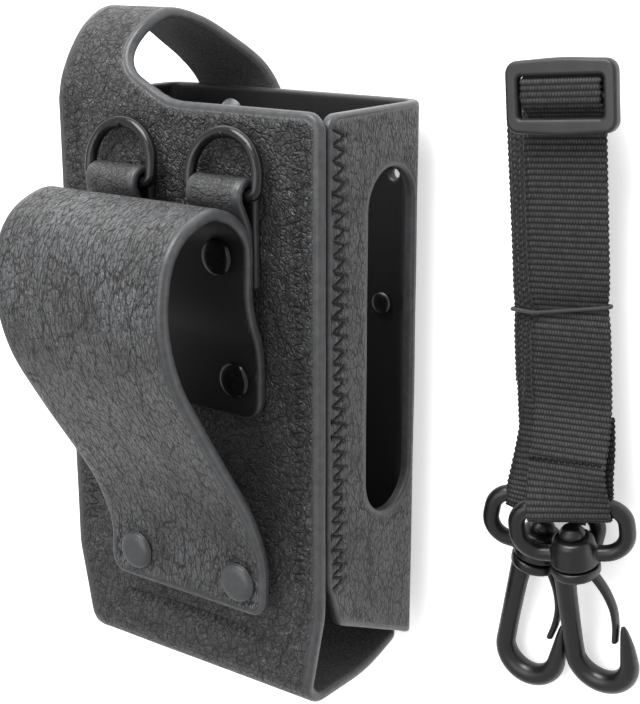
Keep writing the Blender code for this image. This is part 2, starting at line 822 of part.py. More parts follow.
def hank_section(z, inset):
    """Cross-section of the folded webbing: a stack whose lower layers slip to the left."""
    half, shift, step = WEB_HALF_WIDTH, HANK_SHIFT, 2.4
    corners = [
        (-half, HANK_TOP_Y),
        (half, HANK_TOP_Y),
        (half + 0.2, HANK_TOP_Y + step),
        (half - shift, TABLE),
        (-half - shift, TABLE),
        (-half - shift - 0.2, TABLE - step),
    ]
    slant = TIE_SLANT if inset else 0.0
    section = []
    for index, corner in enumerate(corners):
        here = Vector(corner)
        before = (here - Vector(corners[index - 1])).normalized()
        after = (Vector(corners[(index + 1) % len(corners)]) - here).normalized()
        inward = (after - before) / (before.cross(after))
        x, y = here + inward * inset
        section.append((x, y, z + slant * (x + shift / 2)))
    return section


def build_webbing(strap_set):
    """The strap's webbing as one folded stack, with a loop round each hook's eye."""
    levels = [
        (HANK_LOW, 0.0),
        (TIE_Z - 8.0, 0.0),
        (TIE_Z - 1.2, WAIST),
        (TIE_Z + 1.2, WAIST),
        (TIE_Z + 8.0, 0.0),
        (HANK_HIGH, 0.0),
    ]
    stack = make_node(
        "strap_webbing", loft([hank_section(z, inset) for z, inset in levels]), WEBBING, strap_set
    )
    reach = TUNNEL + WEB_THICK
    loops, tunnels = [], []
    ends = {"upper": ((11.2, 10.4), (7.6, 17.6)), "lower": ((4.2, 12.7), (-1.2, 19.2))}
    for label, bar, turn in (("upper", UPPER_BAR, UPPER_TURN), ("lower", LOWER_BAR, LOWER_TURN)):
        frame = make_empty(f"{label}_loop_frame", strap_set, bar, turn)
        frame.rotation_mode = "ZYX"
        round_end = [(-reach, -reach, reach - 0.01), (reach, -reach, reach - 0.01)]
        outline = arc_path(round_end + [(*point, 0.0) for point in ends[label]])
        loops.append(
            tool(f"{label}_loop", prism(outline, -WEB_HALF_WIDTH, WEB_HALF_WIDTH, across_x), frame)
        )
        across = (0.0, 90.0, 0.0)
        tunnels.append(tool(f"{label}_tunnel", rod(TUNNEL, -14.0, 14.0), frame, turn=across))
    combine(stack, loops, "UNION", "MANIFOLD")
    combine(stack, tunnels, "DIFFERENCE", "MANIFOLD")


def build_tie(strap_set):
    """Thin elastic cord round the waist of the folded webbing."""
    clear = WAIST - GAP - TIE_WIRE
    section = hank_section(TIE_Z, clear)
    corners = [(x, y, 0.5) for x, y, _ in section]
    path = arc_path(corners, step=30.0)
    bm = wire(path, TIE_WIRE, sides=8, closed=True)
    for vert in bm.verts:
        x, across, y = vert.co
        vert.co = (x, y, TIE_Z + across + TIE_SLANT * (x + HANK_SHIFT / 2))
    make_node("strap_tie", bm, ELASTIC, strap_set, smooth=True)


def build_slider(strap_set):
    """Slide adjuster: an arched frame with a cross bar, and the webbing that turns round it."""
    carrier = make_empty("slider_carrier", strap_set, (SLIDER_X, 0.0, SLIDER_LOW))
    half, tall, swell = SLIDER_HALF_WIDTH, SLIDER_HEIGHT, 0.7
    frame_outline = arc_path(
        [
            (-half, 0.0, 3.0),
            (0.0, -swell, 60.0),
            (half, 0.0, 3.0),
            (half, tall, 3.0),
            (0.0, tall + swell, 60.0),
            (-half, tall, 3.0),
        ]
    )
    window_outline = arc_path(
        [(-10.8, 3.3, 0.8), (10.8, 3.3, 0.8), (10.8, 12.9, 0.8), (-10.8, 12.9, 0.8)]
    )
    low = SLIDER_TOP_Y
    frame = make_node(
        "strap_slider", prism(frame_outline, low, low + SLIDER_THICK, across_y), BLACK_PLASTIC, carrier
    )
    window = tool("window", prism(window_outline, low - 1.0, low + SLIDER_THICK + 1.0, across_y), carrier)
    combine(frame, [window], "DIFFERENCE")
    bar_y, bar_z = SLIDER_BAR
    bar = tool(
        "bar", rod(0.9, -11.5, 11.5, 12), carrier, (0.0, bar_y, bar_z - SLIDER_LOW), (0.0, 90.0, 0.0)
    )
    combine(frame, [bar], "UNION")
    fold = arc_path(
        [
            (38.5, 0.6, 0.0),
            (38.5, 4.0, 1.0),
            (SLIDER_TOP_Y + 0.05, 7.0, 1.5),
            (SLIDER_TOP_Y + 0.05, 12.55, 2.2),
            (39.75, 12.55, 2.2),
            (39.75, 8.2, 0.0),
        ],
        closed=False,
    )
    length = lengths_along(fold)[-1]
    outline = [(-10.2, 0.0), (10.2, 0.0), (10.2, length), (-10.2, length)]
    make_node("slider_turn", bent_sheet(outline, fold, -WEB_THICK, across_x), WEBBING, carrier)
    return carrier


# ---------------------------------------------------------------- swivel hooks


def eye_mesh(name, parent):
    """Oval eye for the webbing with the boss that the hook's post turns in."""
    corners = [
        (-EYE_HALF_WIDTH, 0.0, EYE_CORNER),
        (EYE_HALF_WIDTH, 0.0, EYE_CORNER),
        (EYE_HALF_WIDTH, -EYE_DROP, EYE_CORNER + 1.0),
        (-EYE_HALF_WIDTH, -EYE_DROP, EYE_CORNER + 1.0),
    ]
    eye = make_node(name, wire(arc_path(corners, step=30.0), EYE_WIRE, closed=True), BLACK_PLASTIC, parent)
    boss = tool("boss", turned([(0, -15.7), (6.1, -15.7), (5.3, -9.0), (4.8, -8.6), (0, -8.6)]), parent)
    combine(eye, [boss], "UNION")
    bore = tool("bore", rod(2.2, -17.0, -7.0), parent)
    slot = tool(
        "slot",
        prism([(0.3, -13.2), (1.3, -13.2), (1.3, -8.0), (0.3, -8.0)], -7.0, -3.6, across_y),
        parent,
    )
    combine(eye, [bore, slot], "DIFFERENCE")
    return eye


def hook_mesh(name, parent):
    """Hook with its flange, its headed post and its tapering nose."""
    bend = (4.6, -43.7)
    reach = 7.5
    path = [(-3.2, -17.6), (-3.3, -26.0), (-3.1, -35.5)]
    radii = [2.7, 2.6, 2.5]
    for k in range(11):
        angle = math.radians(180.0 + 18.0 * k)
        path.append((bend[0] + reach * math.cos(angle), bend[1] + reach * math.sin(angle)))
        radii.append(2.5 + 0.6 * math.sin(math.radians(18.0 * k)) - 0.15 * k / 10)
    path += [(12.0, -39.2), (11.7, -35.4), (11.3, -32.4)]
    radii += [2.0, 1.35, 0.6]
    hook = make_node(name, wire(path, radii, sides=12), BLACK_PLASTIC, parent)
    flange = turned(
        [
            (0.0, -19.0),
            (5.2, -19.0),
            (6.2, -18.3),
            (6.2, -16.0),
            (1.9, -16.0),
            (1.9, -8.3),
            (3.2, -8.3),
            (3.2, -7.0),
            (2.2, -5.6),
            (0.0, -5.2),
        ]
    )
    combine(hook, [tool("flange", flange, parent)], "UNION")
    return hook


def build_hook(label, strap_set, bar, turn):
    """One swivel hook: eye on the webbing, hook body on its swivel, spring gate."""
    bar_empty = make_empty(f"{label}_hook_bar", strap_set, bar, turn)
    bar_empty.rotation_mode = "ZYX"
    eye_mesh(f"{label}_hook_eye", bar_empty)
    swivel = make_empty(f"{label}_hook_swivel", bar_empty, turn=(0.0, 0.0, -turn[2]))
    hook_mesh(f"{label}_hook_body", swivel)
    root_x, root_z = GATE_ROOT
    gate_path = smooth_path([(5.0, -19.9), (7.4, -22.8), (9.1, -27.4), (9.4, -32.4), (8.8, -37.4)], 3)
    gate_path = [(x - root_x, z - root_z) for x, z in gate_path]
    gate_radii = [0.95 - 0.15 * k / (len(gate_path) - 1) for k in range(len(gate_path))]
    gate = wire(gate_path, gate_radii, sides=10, flat=1.6)
    make_node(
        f"{label}_hook_gate", gate, BLACK_PLASTIC, swivel, (root_x, 0.0, root_z), smooth=True
    )


def main():
    clear_scene()
    lay_down = make_empty("lay_down", None, (CASE_X, CASE_Y, TABLE), (-90.0, 0.0, 0.0))
    case = make_empty("case", lay_down)
    strap_hinge, strap_pivot = build_back(case)
    build_side_wrap(case)
    build_lining(case)
    flap_hinge, flap_pivot = build_belt_loop(case)
    build_rivets(case)
    build_belt_snaps(case, flap_hinge, flap_pivot)
    build_top_snap(case, strap_hinge, strap_pivot)
    build_d_rings(case)
    strap_set = make_empty("strap_set", lay_down, (SET_X, 0.0, SET_Z), (0.0, -SET_LEAN, 0.0))
    build_webbing(strap_set)
    build_tie(strap_set)
    build_slider(strap_set)
    build_hook("upper", strap_set, UPPER_BAR, UPPER_TURN)
    build_hook("lower", strap_set, LOWER_BAR, LOWER_TURN)


main()
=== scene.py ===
"""Looks of the leather radio holster, its belt loop, D-rings and folded shoulder strap.

Shapes are drawn standing up, in millimetres: X to the right as seen from the back, Y from the back
panel towards the front, Z up. stand() lays them down in the row frame, on the holster's front.
"""

import math

import bmesh
import bpy
import numpy as np
from mathutils import Euler, Matrix, Vector, geometry, noise


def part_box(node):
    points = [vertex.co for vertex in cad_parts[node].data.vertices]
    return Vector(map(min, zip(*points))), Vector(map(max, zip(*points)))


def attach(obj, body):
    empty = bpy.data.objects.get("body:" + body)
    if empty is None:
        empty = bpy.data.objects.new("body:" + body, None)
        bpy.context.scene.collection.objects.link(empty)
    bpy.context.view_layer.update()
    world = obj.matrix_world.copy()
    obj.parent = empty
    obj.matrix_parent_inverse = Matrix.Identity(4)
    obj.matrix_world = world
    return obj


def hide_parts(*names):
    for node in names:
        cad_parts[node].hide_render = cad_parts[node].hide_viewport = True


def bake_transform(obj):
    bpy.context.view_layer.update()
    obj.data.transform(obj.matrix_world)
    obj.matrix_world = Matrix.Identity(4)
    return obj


MM = 0.001

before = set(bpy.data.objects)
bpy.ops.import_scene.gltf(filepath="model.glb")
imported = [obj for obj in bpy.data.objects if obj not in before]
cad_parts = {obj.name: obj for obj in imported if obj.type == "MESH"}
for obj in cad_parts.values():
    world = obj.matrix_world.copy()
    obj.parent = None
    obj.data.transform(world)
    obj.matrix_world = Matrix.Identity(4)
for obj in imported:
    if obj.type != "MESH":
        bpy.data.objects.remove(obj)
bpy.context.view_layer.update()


def shift(x, y, z):
    return Matrix.Translation((x, y, z))


def rotation(degrees, axis):
    return Matrix.Rotation(math.radians(degrees), 4, axis)


# The holster's own frame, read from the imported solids
LINING_FACE = 3.3
LINING_LOW = 9.0
wrap_low, wrap_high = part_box("front_side_wrap")
lining_low, lining_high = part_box("back_lining")
CASE_X = (wrap_low.x + wrap_high.x) / 2 / MM
CASE_Y = lining_low.y / MM - LINING_LOW
TABLE = lining_high.z / MM + LINING_FACE
LAY_DOWN = shift(CASE_X, CASE_Y, TABLE) @ rotation(-90.0, "X")

# The holster's leather
HALF_WIDTH = 42.0
RIM_HEIGHT = 149.0
LEATHER = 3.0
FRONT_OUTER = 45.5
TONGUE_OUTER = 48.8
TONGUE_TOP = 27.0
SIDE_REAR = 3.6
STRAP_ROOT = (5.3, 160.2)
STRAP_FRONT = (45.6, 155.2)

# Fasteners, seams and rings
TOP_SNAP = (-8.0, 124.0)
LOOP_TOP = (-21.0, 128.4)
SNAP_HEIGHT = 31.0
SNAP_X = (-13.4, 20.9)
RIVET_X = 18.5
SEAM_LOW = 30.0
SEAM_HIGH = 146.0
SEAM_WIDTH = 5.6
SEAM_PITCH = 3.7
RING_X = 16.5
RING_BAR = (-4.4, 129.0)
RING_LEAN = 8.5

# The folded shoulder strap, in a frame of its own beside the holster
STRAP_SET = LAY_DOWN @ shift(89.35, 0.0, 60.0) @ rotation(-4.6, "Y")
UPPER_BAR = ((0.5, 36.0, -6.0), (12.6, 2.0, 19.0))
LOWER_BAR = ((-8.8, 43.1, -8.4), (4.8, 17.0, 19.0))
WEB_HALF = 10.1
WEB_PITCH = 1.07
LOOP_RADIUS = 3.3
STRAIGHT = (1.0, 0.0, 0.0)
TIE_X = -5.4
LAYERS = 10
LAYER_SHIFT = 1.2
HANK_TOP = 40.1
TIE_Z = 41.0
TIE_SLANT = 0.13
SLIDER_LOW = 84.0
SLIDER_X = 1.0
ROW_PITCH = 1.43
RIB_PITCH = 0.76

# The camera, its place in millimetres from the holster's frame
CAMERA_PLACE = (234.8, 187.1, 314.2)
CAMERA_LENS = 74.1
VIEW_RIGHT = Vector((0.807, 0.0, -0.591))
VIEW_UP = Vector((-0.163, 0.9615, -0.223))
VIEW_FORWARD = Vector((-0.568, -0.2765, -0.7755))


# ---------------------------------------------------------------- paths


def arc_path(corners, step=15.0):
    """Points along straight runs joined by arcs; corners are (a, b, radius), an open end's radius is 0."""
    points = []
    for index, (a, b, radius) in enumerate(corners):
        if radius == 0.0:
            points.append((a, b))
            continue
        here = Vector((a, b))
        before = (Vector(corners[index - 1][:2]) - here).normalized()
        after = (Vector(corners[(index + 1) % len(corners)][:2]) - here).normalized()
        half = before.angle(after) / 2
        centre = here + (before + after).normalized() * radius / math.sin(half)
        reach = radius / math.tan(half)
        start = here + before * reach - centre
        sweep = start.angle_signed(here + after * reach - centre)
        steps = max(2, round(math.degrees(abs(sweep)) / step))
        for turn in range(steps + 1):
            points.append(tuple(centre + Matrix.Rotation(-sweep * turn / steps, 2) @ start))
    return points


def smooth_path(knots, per_span=4):
    """Points of a Catmull-Rom curve through the knots."""
    points = []
    padded = [knots[0], *knots, knots[-1]]
    for span in zip(padded, padded[1:], padded[2:], padded[3:]):
        for part in range(per_span):
            t = part / per_span
            points.append(tuple(
                0.5 * (2 * b + (c - a) * t + (2 * a - 5 * b + 4 * c - d) * t**2 + (3 * b - a - 3 * c + d) * t**3)
                for a, b, c, d in zip(*span)
            ))
    return points + [tuple(knots[-1])]


def lengths_along(path):
    total = [0.0]
    for here, there in zip(path, path[1:]):
        total.append(total[-1] + math.dist(here, there))
    return total


def ease(t):
    t = np.clip(t, 0.0, 1.0)
    return t * t * (3 - 2 * t)


# ---------------------------------------------------------------- meshes

PATCH_STEP = 0.6
RIM_STEP = 1.3
VOXEL = 0.3
SHARP_EDGE = 50


def add_object(name, data):
    node = bpy.data.objects.new(name, data)
    bpy.context.scene.collection.objects.link(node)
    return node


def place_mesh(name, points, faces, matrix=LAY_DOWN, attributes=None):
    """Points in millimetres in a frame of the holster, made into an object in the row frame."""
    points = np.asarray(points, float)
    turn = np.array(matrix.to_3x3())
    world = (points @ turn.T + np.array(matrix.translation)) * MM
    mesh = bpy.data.meshes.new(name)
    mesh.from_pydata([tuple(p) for p in world], [], [tuple(int(i) for i in f) for f in faces])
    mesh.validate()
    for label, values in (attributes or {}).items():
        values = np.asarray(values, np.float32)
        kind = "FLOAT" if values.ndim == 1 else "FLOAT_VECTOR"
        layer = mesh.attributes.new(label, kind, "POINT")
        layer.data.foreach_set("value" if values.ndim == 1 else "vector", values.ravel())
    bm = bmesh.new()
    bm.from_mesh(mesh)
    bmesh.ops.recalc_face_normals(bm, faces=bm.faces)
    bm.to_mesh(mesh)
    bm.free()
    mesh.shade_smooth()
    return add_object(name, mesh)


def settle(node, material, body, slot, *nodes, sharp=None):
    """Give a piece its material and its body, and hide the solids it stands for; slot is not used."""
    node.data.materials.clear()
    node.data.materials.append(material)
    if sharp:
        node.data.set_sharp_from_angle(angle=math.radians(sharp))
    if body:
        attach(node, body)
    if nodes:
        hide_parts(*nodes)
    return node


def signed_area(loop):
    x, y = np.array(loop).T
    return 0.5 * float(np.sum(x * np.roll(y, -1) - np.roll(x, -1) * y))


def divide(loop, step):
    """A closed outline with no run longer than step."""
    points = []
    for here, there in zip(loop, loop[1:] + loop[:1]):
        count = max(1, math.ceil(math.dist(here, there) / step))
        points += [tuple(a + (b - a) * k / count for a, b in zip(here, there)) for k in range(count)]
    return points


def inset(loop, amount):
    """An outline moved inwards; holes run the other way round, so they grow."""
    points = np.array(loop)
    ahead = np.roll(points, -1, 0) - points
    ahead /= np.linalg.norm(ahead, axis=1)[:, None]
    behind = np.roll(ahead, 1, 0)
    left = np.stack([-ahead[:, 1], ahead[:, 0]], 1)
    left_before = np.roll(left, 1, 0)
    share = np.maximum(1.0 + np.sum(ahead * behind, 1), 0.55)
    return points + (left + left_before) / share[:, None] * amount


def inside(points, loops):
    """Which points lie within the outline and outside its holes."""
    result = np.zeros(len(points), bool)
    x, y = points[:, 0:1], points[:, 1:2]
    for loop in loops:
        a, b = np.asarray(loop), np.roll(np.asarray(loop), -1, 0)
        crosses = (a[:, 1] > y) != (b[:, 1] > y)
        rise = np.where(np.abs(b[:, 1] - a[:, 1]) < 1e-12, 1e-12, b[:, 1] - a[:, 1])
        at = a[:, 0] + (y - a[:, 1]) * (b[:, 0] - a[:, 0]) / rise
        result ^= (np.sum(crosses & (x < at), 1) % 2).astype(bool)
    return result


def edge_distance(points, loops):
    """Distance from each point to the nearest outline."""
    best = np.full(len(points), 1e9)
    for loop in loops:
        a = np.asarray(loop)
        run = np.roll(a, -1, 0) - a
        for start in range(0, len(points), 4000):
            some = points[start:start + 4000]
            offset = some[:, None, :] - a[None, :, :]
            share = np.clip(np.sum(offset * run, 2) / np.maximum(np.sum(run * run, 1), 1e-12), 0, 1)
            gap = np.linalg.norm(offset - share[..., None] * run, axis=2).min(1)
            best[start:start + 4000] = np.minimum(best[start:start + 4000], gap)
    return best


def grid_points(loops, margin, step, patches):
    """Points of a staggered grid inside an outline, denser in the patches (a0, b0, a1, b1)."""
    outline = np.asarray(loops[0])
    low, high = outline.min(0), outline.max(0)

    def grid(a0, b0, a1, b1, pitch):
        rows = np.arange(b0, b1, pitch * 0.866)
        found = []
        for k, b in enumerate(rows):
            a = np.arange(a0 + (k % 2) * pitch / 2, a1, pitch)
            found.append(np.stack([a, np.full(len(a), b)], 1))
        return np.concatenate(found)

    coarse = grid(low[0], low[1], high[0], high[1], step)
    keep = np.ones(len(coarse), bool)
    parts = []
    for a0, b0, a1, b1 in patches:
        pad = step * 0.45
        near = (coarse[:, 0] > a0 - pad) & (coarse[:, 0] < a1 + pad)
        near &= (coarse[:, 1] > b0 - pad) & (coarse[:, 1] < b1 + pad)
        keep &= ~near
        parts.append(grid(a0, b0, a1, b1, PATCH_STEP))
    points = np.concatenate([coarse[keep], *parts])
    points = points[inside(points, loops)]
    return points[edge_distance(points, loops) > margin]


def fold_map(fold, side, plane):
    """A function from the flat pattern, with its depth below the face, to the holster's frame."""
    marks = np.array(lengths_along(fold))
    path = np.array(fold)
    run = np.diff(path, axis=0)
    run /= np.linalg.norm(run, axis=1)[:, None]
    left = np.stack([-run[:, 1], run[:, 0]], 1)
    normals = np.concatenate([left[:1], (left[:-1] + left[1:]), left[-1:]])
    normals /= np.linalg.norm(normals, axis=1)[:, None]

    def lay(flat, depth):
        along = flat[:, 1]
        index = np.clip(np.searchsorted(marks, along), 1, len(marks) - 1)
        share = ((along - marks[index - 1]) / (marks[index] - marks[index - 1]))[:, None]
        here = path[index - 1] * (1 - share) + path[index] * share
        out = normals[index - 1] * (1 - share) + normals[index] * share
        spot = here + out * (side * np.asarray(depth))[:, None]
        if plane == "yz":
            return np.stack([flat[:, 0], spot[:, 0], spot[:, 1]], 1)
        return np.stack([spot[:, 0], spot[:, 1], flat[:, 0]], 1)

    return lay


def leather_sheet(name, loops, lay, thickness, step=1.9, rim=1.3, patches=(), relief=None, matrix=LAY_DOWN,
                  band=3.4, wave=0.12, rounds=4):
    """A cut sheet with a rounded rim, laid along its fold, with its pattern kept as attributes."""
    loops = [divide(list(loop), RIM_STEP) for loop in loops]
    loops = [loop if (signed_area(loop) > 0) == (k == 0) else loop[::-1] for k, loop in enumerate(loops)]
    turns = [math.pi / 2 * k / rounds for k in range(rounds + 1)]
    profile = [(rim * (1 - math.sin(turn)), rim * (1 - math.cos(turn))) for turn in turns]
    profile += [(offset, thickness - depth) for offset, depth in reversed(profile)]
    crease = band * 0.55 + rim * 0.45
    top_loops = [inset(loop, rim) for loop in loops]
    band_loops = [inset(loop, crease) for loop in loops]
    seeds = grid_points(band_loops, step * 0.45, step, patches)
    constraint_points, constraint_edges = [], []
    for group in (top_loops, band_loops):
        for loop in group:
            first = len(constraint_points)
            constraint_points += [Vector(p) for p in loop]
            constraint_edges += [(first + k, first + (k + 1) % len(loop)) for k in range(len(loop))]
    every = constraint_points + [Vector(p) for p in seeds]
    flat, _, triangles, origin, _, _ = geometry.delaunay_2d_cdt(every, constraint_edges, [], 0, 1e-5)
    flat = np.array([tuple(p) for p in flat])
    triangles = np.array([t for t in triangles if len(t) == 3])
    centres = flat[triangles].mean(1)
    triangles = triangles[inside(centres, [np.asarray(loop) for loop in top_loops])]
    position = {source: index for index, sources in enumerate(origin) for source in sources}
    distance = edge_distance(flat, [np.asarray(loop) for loop in loops])
    face_count = len(flat)

    def sway(points):
        return np.array([noise.noise(Vector((p[0] * 0.045, p[1] * 0.045, len(name)))) for p in points]) * wave

    pressed = relief(flat) if relief else np.zeros(face_count)
    points, patterns, edges, sides, faces = [], [], [], [], []
    for depth, sign in ((0.0, 1), (thickness, -1)):
        shift = sway(flat) + (pressed if sign > 0 else 0.0)
        points.append(lay(flat, depth + shift))
        patterns.append(np.column_stack([flat, np.full(face_count, depth)]))
        edges.append(np.clip((distance - rim) / (band - rim), 0, 1))
        sides.append(np.full(face_count, 0.0 if sign > 0 else 1.0))
        first = 0 if sign > 0 else face_count
        faces += [tuple(first + int(i) for i in (t if sign > 0 else t[::-1])) for t in triangles]
    total = 2 * face_count
    start = 0
    for loop in loops:
        count = len(loop)
        rows = [[position[start + k] for k in range(count)]]
        for offset, depth in profile[1:-1]:
            ring = inset(loop, offset)
            points.append(lay(ring, depth + sway(ring)))
            patterns.append(np.column_stack([ring, np.full(count, depth)]))
            edges.append(np.zeros(count))
            sides.append(np.full(count, depth / thickness))
            rows.append([total + k for k in range(count)])
            total += count
        rows.append([face_count + position[start + k] for k in range(count)])
        for upper, lower in zip(rows, rows[1:]):
            for k in range(count):
                nxt = (k + 1) % count
                faces.append((upper[k], lower[k], lower[nxt], upper[nxt]))
        start += count
    attributes = {"flat": patterns, "edge": edges, "side": sides}
    attributes = {label: np.concatenate(values) for label, values in attributes.items()}
    return place_mesh(name, np.concatenate(points), faces, matrix, attributes)


def tube_faces(rings, sides, first=0, closed=False):
    """Faces between rings of points, with ends where the tube doesn't close on itself."""
    faces = []
    for index in range(rings if closed else rings - 1):
        low, high = first + index * sides, first + (index + 1) % rings * sides
        for k in range(sides):
            nxt = (k + 1) % sides
            faces.append((low + k, low + nxt, high + nxt, high + k))
    if not closed:
        last = first + (rings - 1) * sides
        faces += [tuple(range(first, first + sides)), tuple(range(last, last + sides))[::-1]]
    return faces


def shell_of(profile, sides=40):
    """Points and faces of a body turned about Z, from (radius, height) points that end on the axis."""
    points, faces, rings = [], [], []
    for radius, height in profile:
        count = sides if radius else 1
        rings.append(range(len(points), len(points) + count))
        for k in range(count):
            angle = math.tau * k / sides
            points.append((radius * math.cos(angle), radius * math.sin(angle), height))
    for low, high in zip(rings, rings[1:]):
        for k in range(sides):
            ends = [ring[(k + ahead) % len(ring)] for ring, ahead in ((low, 0), (low, 1), (high, 1), (high, 0))]
            faces.append(tuple(dict.fromkeys(ends)))
    return points, faces


def turned(name, profile, matrix, sides=40):
    points, faces = shell_of(profile, sides)
    return place_mesh(name, points, faces, matrix, {"flat": points})


def sweep(path, radii, sides=16, closed=False, flat=1.0):
    """Points and faces of a round bar along a path in the XZ plane; flat stretches it along Y."""
    points, count = [], len(path)
    for index, (x, z) in enumerate(path):
        before = path[index - 1] if index or closed else path[0]
        after = path[(index + 1) % count] if index < count - 1 or closed else path[-1]
        along = Vector((after[0] - before[0], 0.0, after[1] - before[1])).normalized()
        side = Vector((along.z, 0.0, -along.x))
        radius = radii[index] if isinstance(radii, (list, tuple)) else radii
        for k in range(sides):
            angle = math.tau * k / sides
            offset = side * math.cos(angle) + Vector((0.0, flat * math.sin(angle), 0.0))
            points.append(tuple(Vector((x, 0.0, z)) + offset * radius))
    return points, tube_faces(count, sides, closed=closed)


def fused(name, shells, matrix, smooth_steps):
    """Overlapping closed shells, moulded into one body with soft inner corners."""
    points, faces = [], []
    for shell_points, shell_faces in shells:
        first = len(points)
        points += list(shell_points)
        faces += [tuple(first + i for i in face) for face in shell_faces]
    node = place_mesh(name, points, faces, matrix)
    remesh = node.modifiers.new("remesh", "REMESH")
    remesh.mode = "VOXEL"
    remesh.voxel_size = VOXEL * MM
    soften = node.modifiers.new("soften", "SMOOTH")
    soften.factor = 0.5
    soften.iterations = smooth_steps
    bpy.context.view_layer.update()
    graph = bpy.context.evaluated_depsgraph_get()
    result = bpy.data.meshes.new_from_object(node.evaluated_get(graph), depsgraph=graph)
    node.modifiers.clear()
    node.data = result
    node.data.shade_smooth()
    return node


# ---------------------------------------------------------------- materials


class Paint:
    """A material under construction: nodes are added and linked by short calls."""

    def __init__(self, name, colour, roughness, metallic=0.0):
        self.material = bpy.data.materials.new(name)
        self.material.use_nodes = True
        self.tree = self.material.node_tree
        self.shader = self.tree.nodes["Principled BSDF"]
        self.set("Base Color", (*colour, 1.0))
        self.set("Roughness", roughness)
        self.set("Metallic", metallic)

    def put(self, socket, value):
        if isinstance(value, bpy.types.NodeSocket):
            self.tree.links.new(value, socket)
        else:
            socket.default_value = value

    def set(self, socket, value):
        self.put(self.shader.inputs[socket], value)

    def node(self, kind, inputs=None, **settings):
        made = self.tree.nodes.new("ShaderNode" + kind)
        for key, value in settings.items():
            setattr(made, key, value)
        for key, value in (inputs or {}).items():
            self.put(made.inputs[key], value)
        return made

    def attribute(self, name, output="Vector"):
        return self.node("Attribute", attribute_name=name).outputs[output]

    def position(self):
        """Object coordinates in millimetres."""
        return self.scaled(self.node("TexCoord").outputs["Object"], (1000.0, 1000.0, 1000.0))

    def scaled(self, vector, scale, turn=0.0):
        spin = (0.0, 0.0, math.radians(turn))
        return self.node("Mapping", {"Vector": vector, "Scale": scale, "Rotation": spin}).outputs["Vector"]

    def math(self, operation, *values):
        return self.node("Math", dict(enumerate(values)), operation=operation).outputs[0]

    def add(self, first, *others):
        for other in others:
            first = self.math("ADD", first, other)
        return first

    def times(self, first, *others):
        for other in others:
            first = self.math("MULTIPLY", first, other)
        return first

    def off_middle(self, value):
        """Distance of a value from a half, for thin lines where a noise crosses it."""
        return self.math("ABSOLUTE", self.math("SUBTRACT", value, 0.5))

    def smoothstep(self, value, low, high, start=0.0, end=1.0):
        inputs = {"Value": value, "From Min": low, "From Max": high, "To Min": start, "To Max": end}
        return self.node("MapRange", inputs, interpolation_type="SMOOTHSTEP").outputs["Result"]

    def noise(self, vector, scale, detail=3.0, rough=0.55, distortion=0.0):
        inputs = {"Vector": vector, "Scale": scale, "Detail": detail, "Roughness": rough}
        return self.node("TexNoise", {**inputs, "Distortion": distortion}).outputs["Fac"]

    def cells(self, vector, scale, wall):
        """Rounded cells: 0 at their walls, 1 from a distance called wall inwards."""
        cell = self.node("TexVoronoi", {"Vector": vector, "Scale": scale}, feature="DISTANCE_TO_EDGE")
        return self.smoothstep(cell.outputs["Distance"], 0.0, wall)

    def warped(self, vector, scale, amount):
        """A vector pushed about by coloured noise."""
        wander = self.node("TexNoise", {"Vector": vector, "Scale": scale, "Detail": 2.0}).outputs["Color"]
        centred = self.node("VectorMath", {0: wander, 1: (0.5, 0.5, 0.5)}, operation="SUBTRACT").outputs[0]
        pushed = self.node("VectorMath", {0: centred, "Scale": amount}, operation="SCALE").outputs[0]
        return self.node("VectorMath", {0: vector, 1: pushed}, operation="ADD").outputs[0]

    def colour(self, share, *ends):
        ends = [(*end, 1.0) if isinstance(end, tuple) else end for end in ends]
        return self.node("Mix", {0: share, 6: ends[0], 7: ends[1]}, data_type="RGBA").outputs[2]

    def blend(self, share, first, second):
        return self.node("Mix", {0: share, 2: first, 3: second}).outputs[0]

    def set_bump(self, height, depth):
        inputs = {"Height": height, "Distance": depth * MM, "Strength": 1.0}
        self.set("Normal", self.node("Bump", inputs).outputs["Normal"])


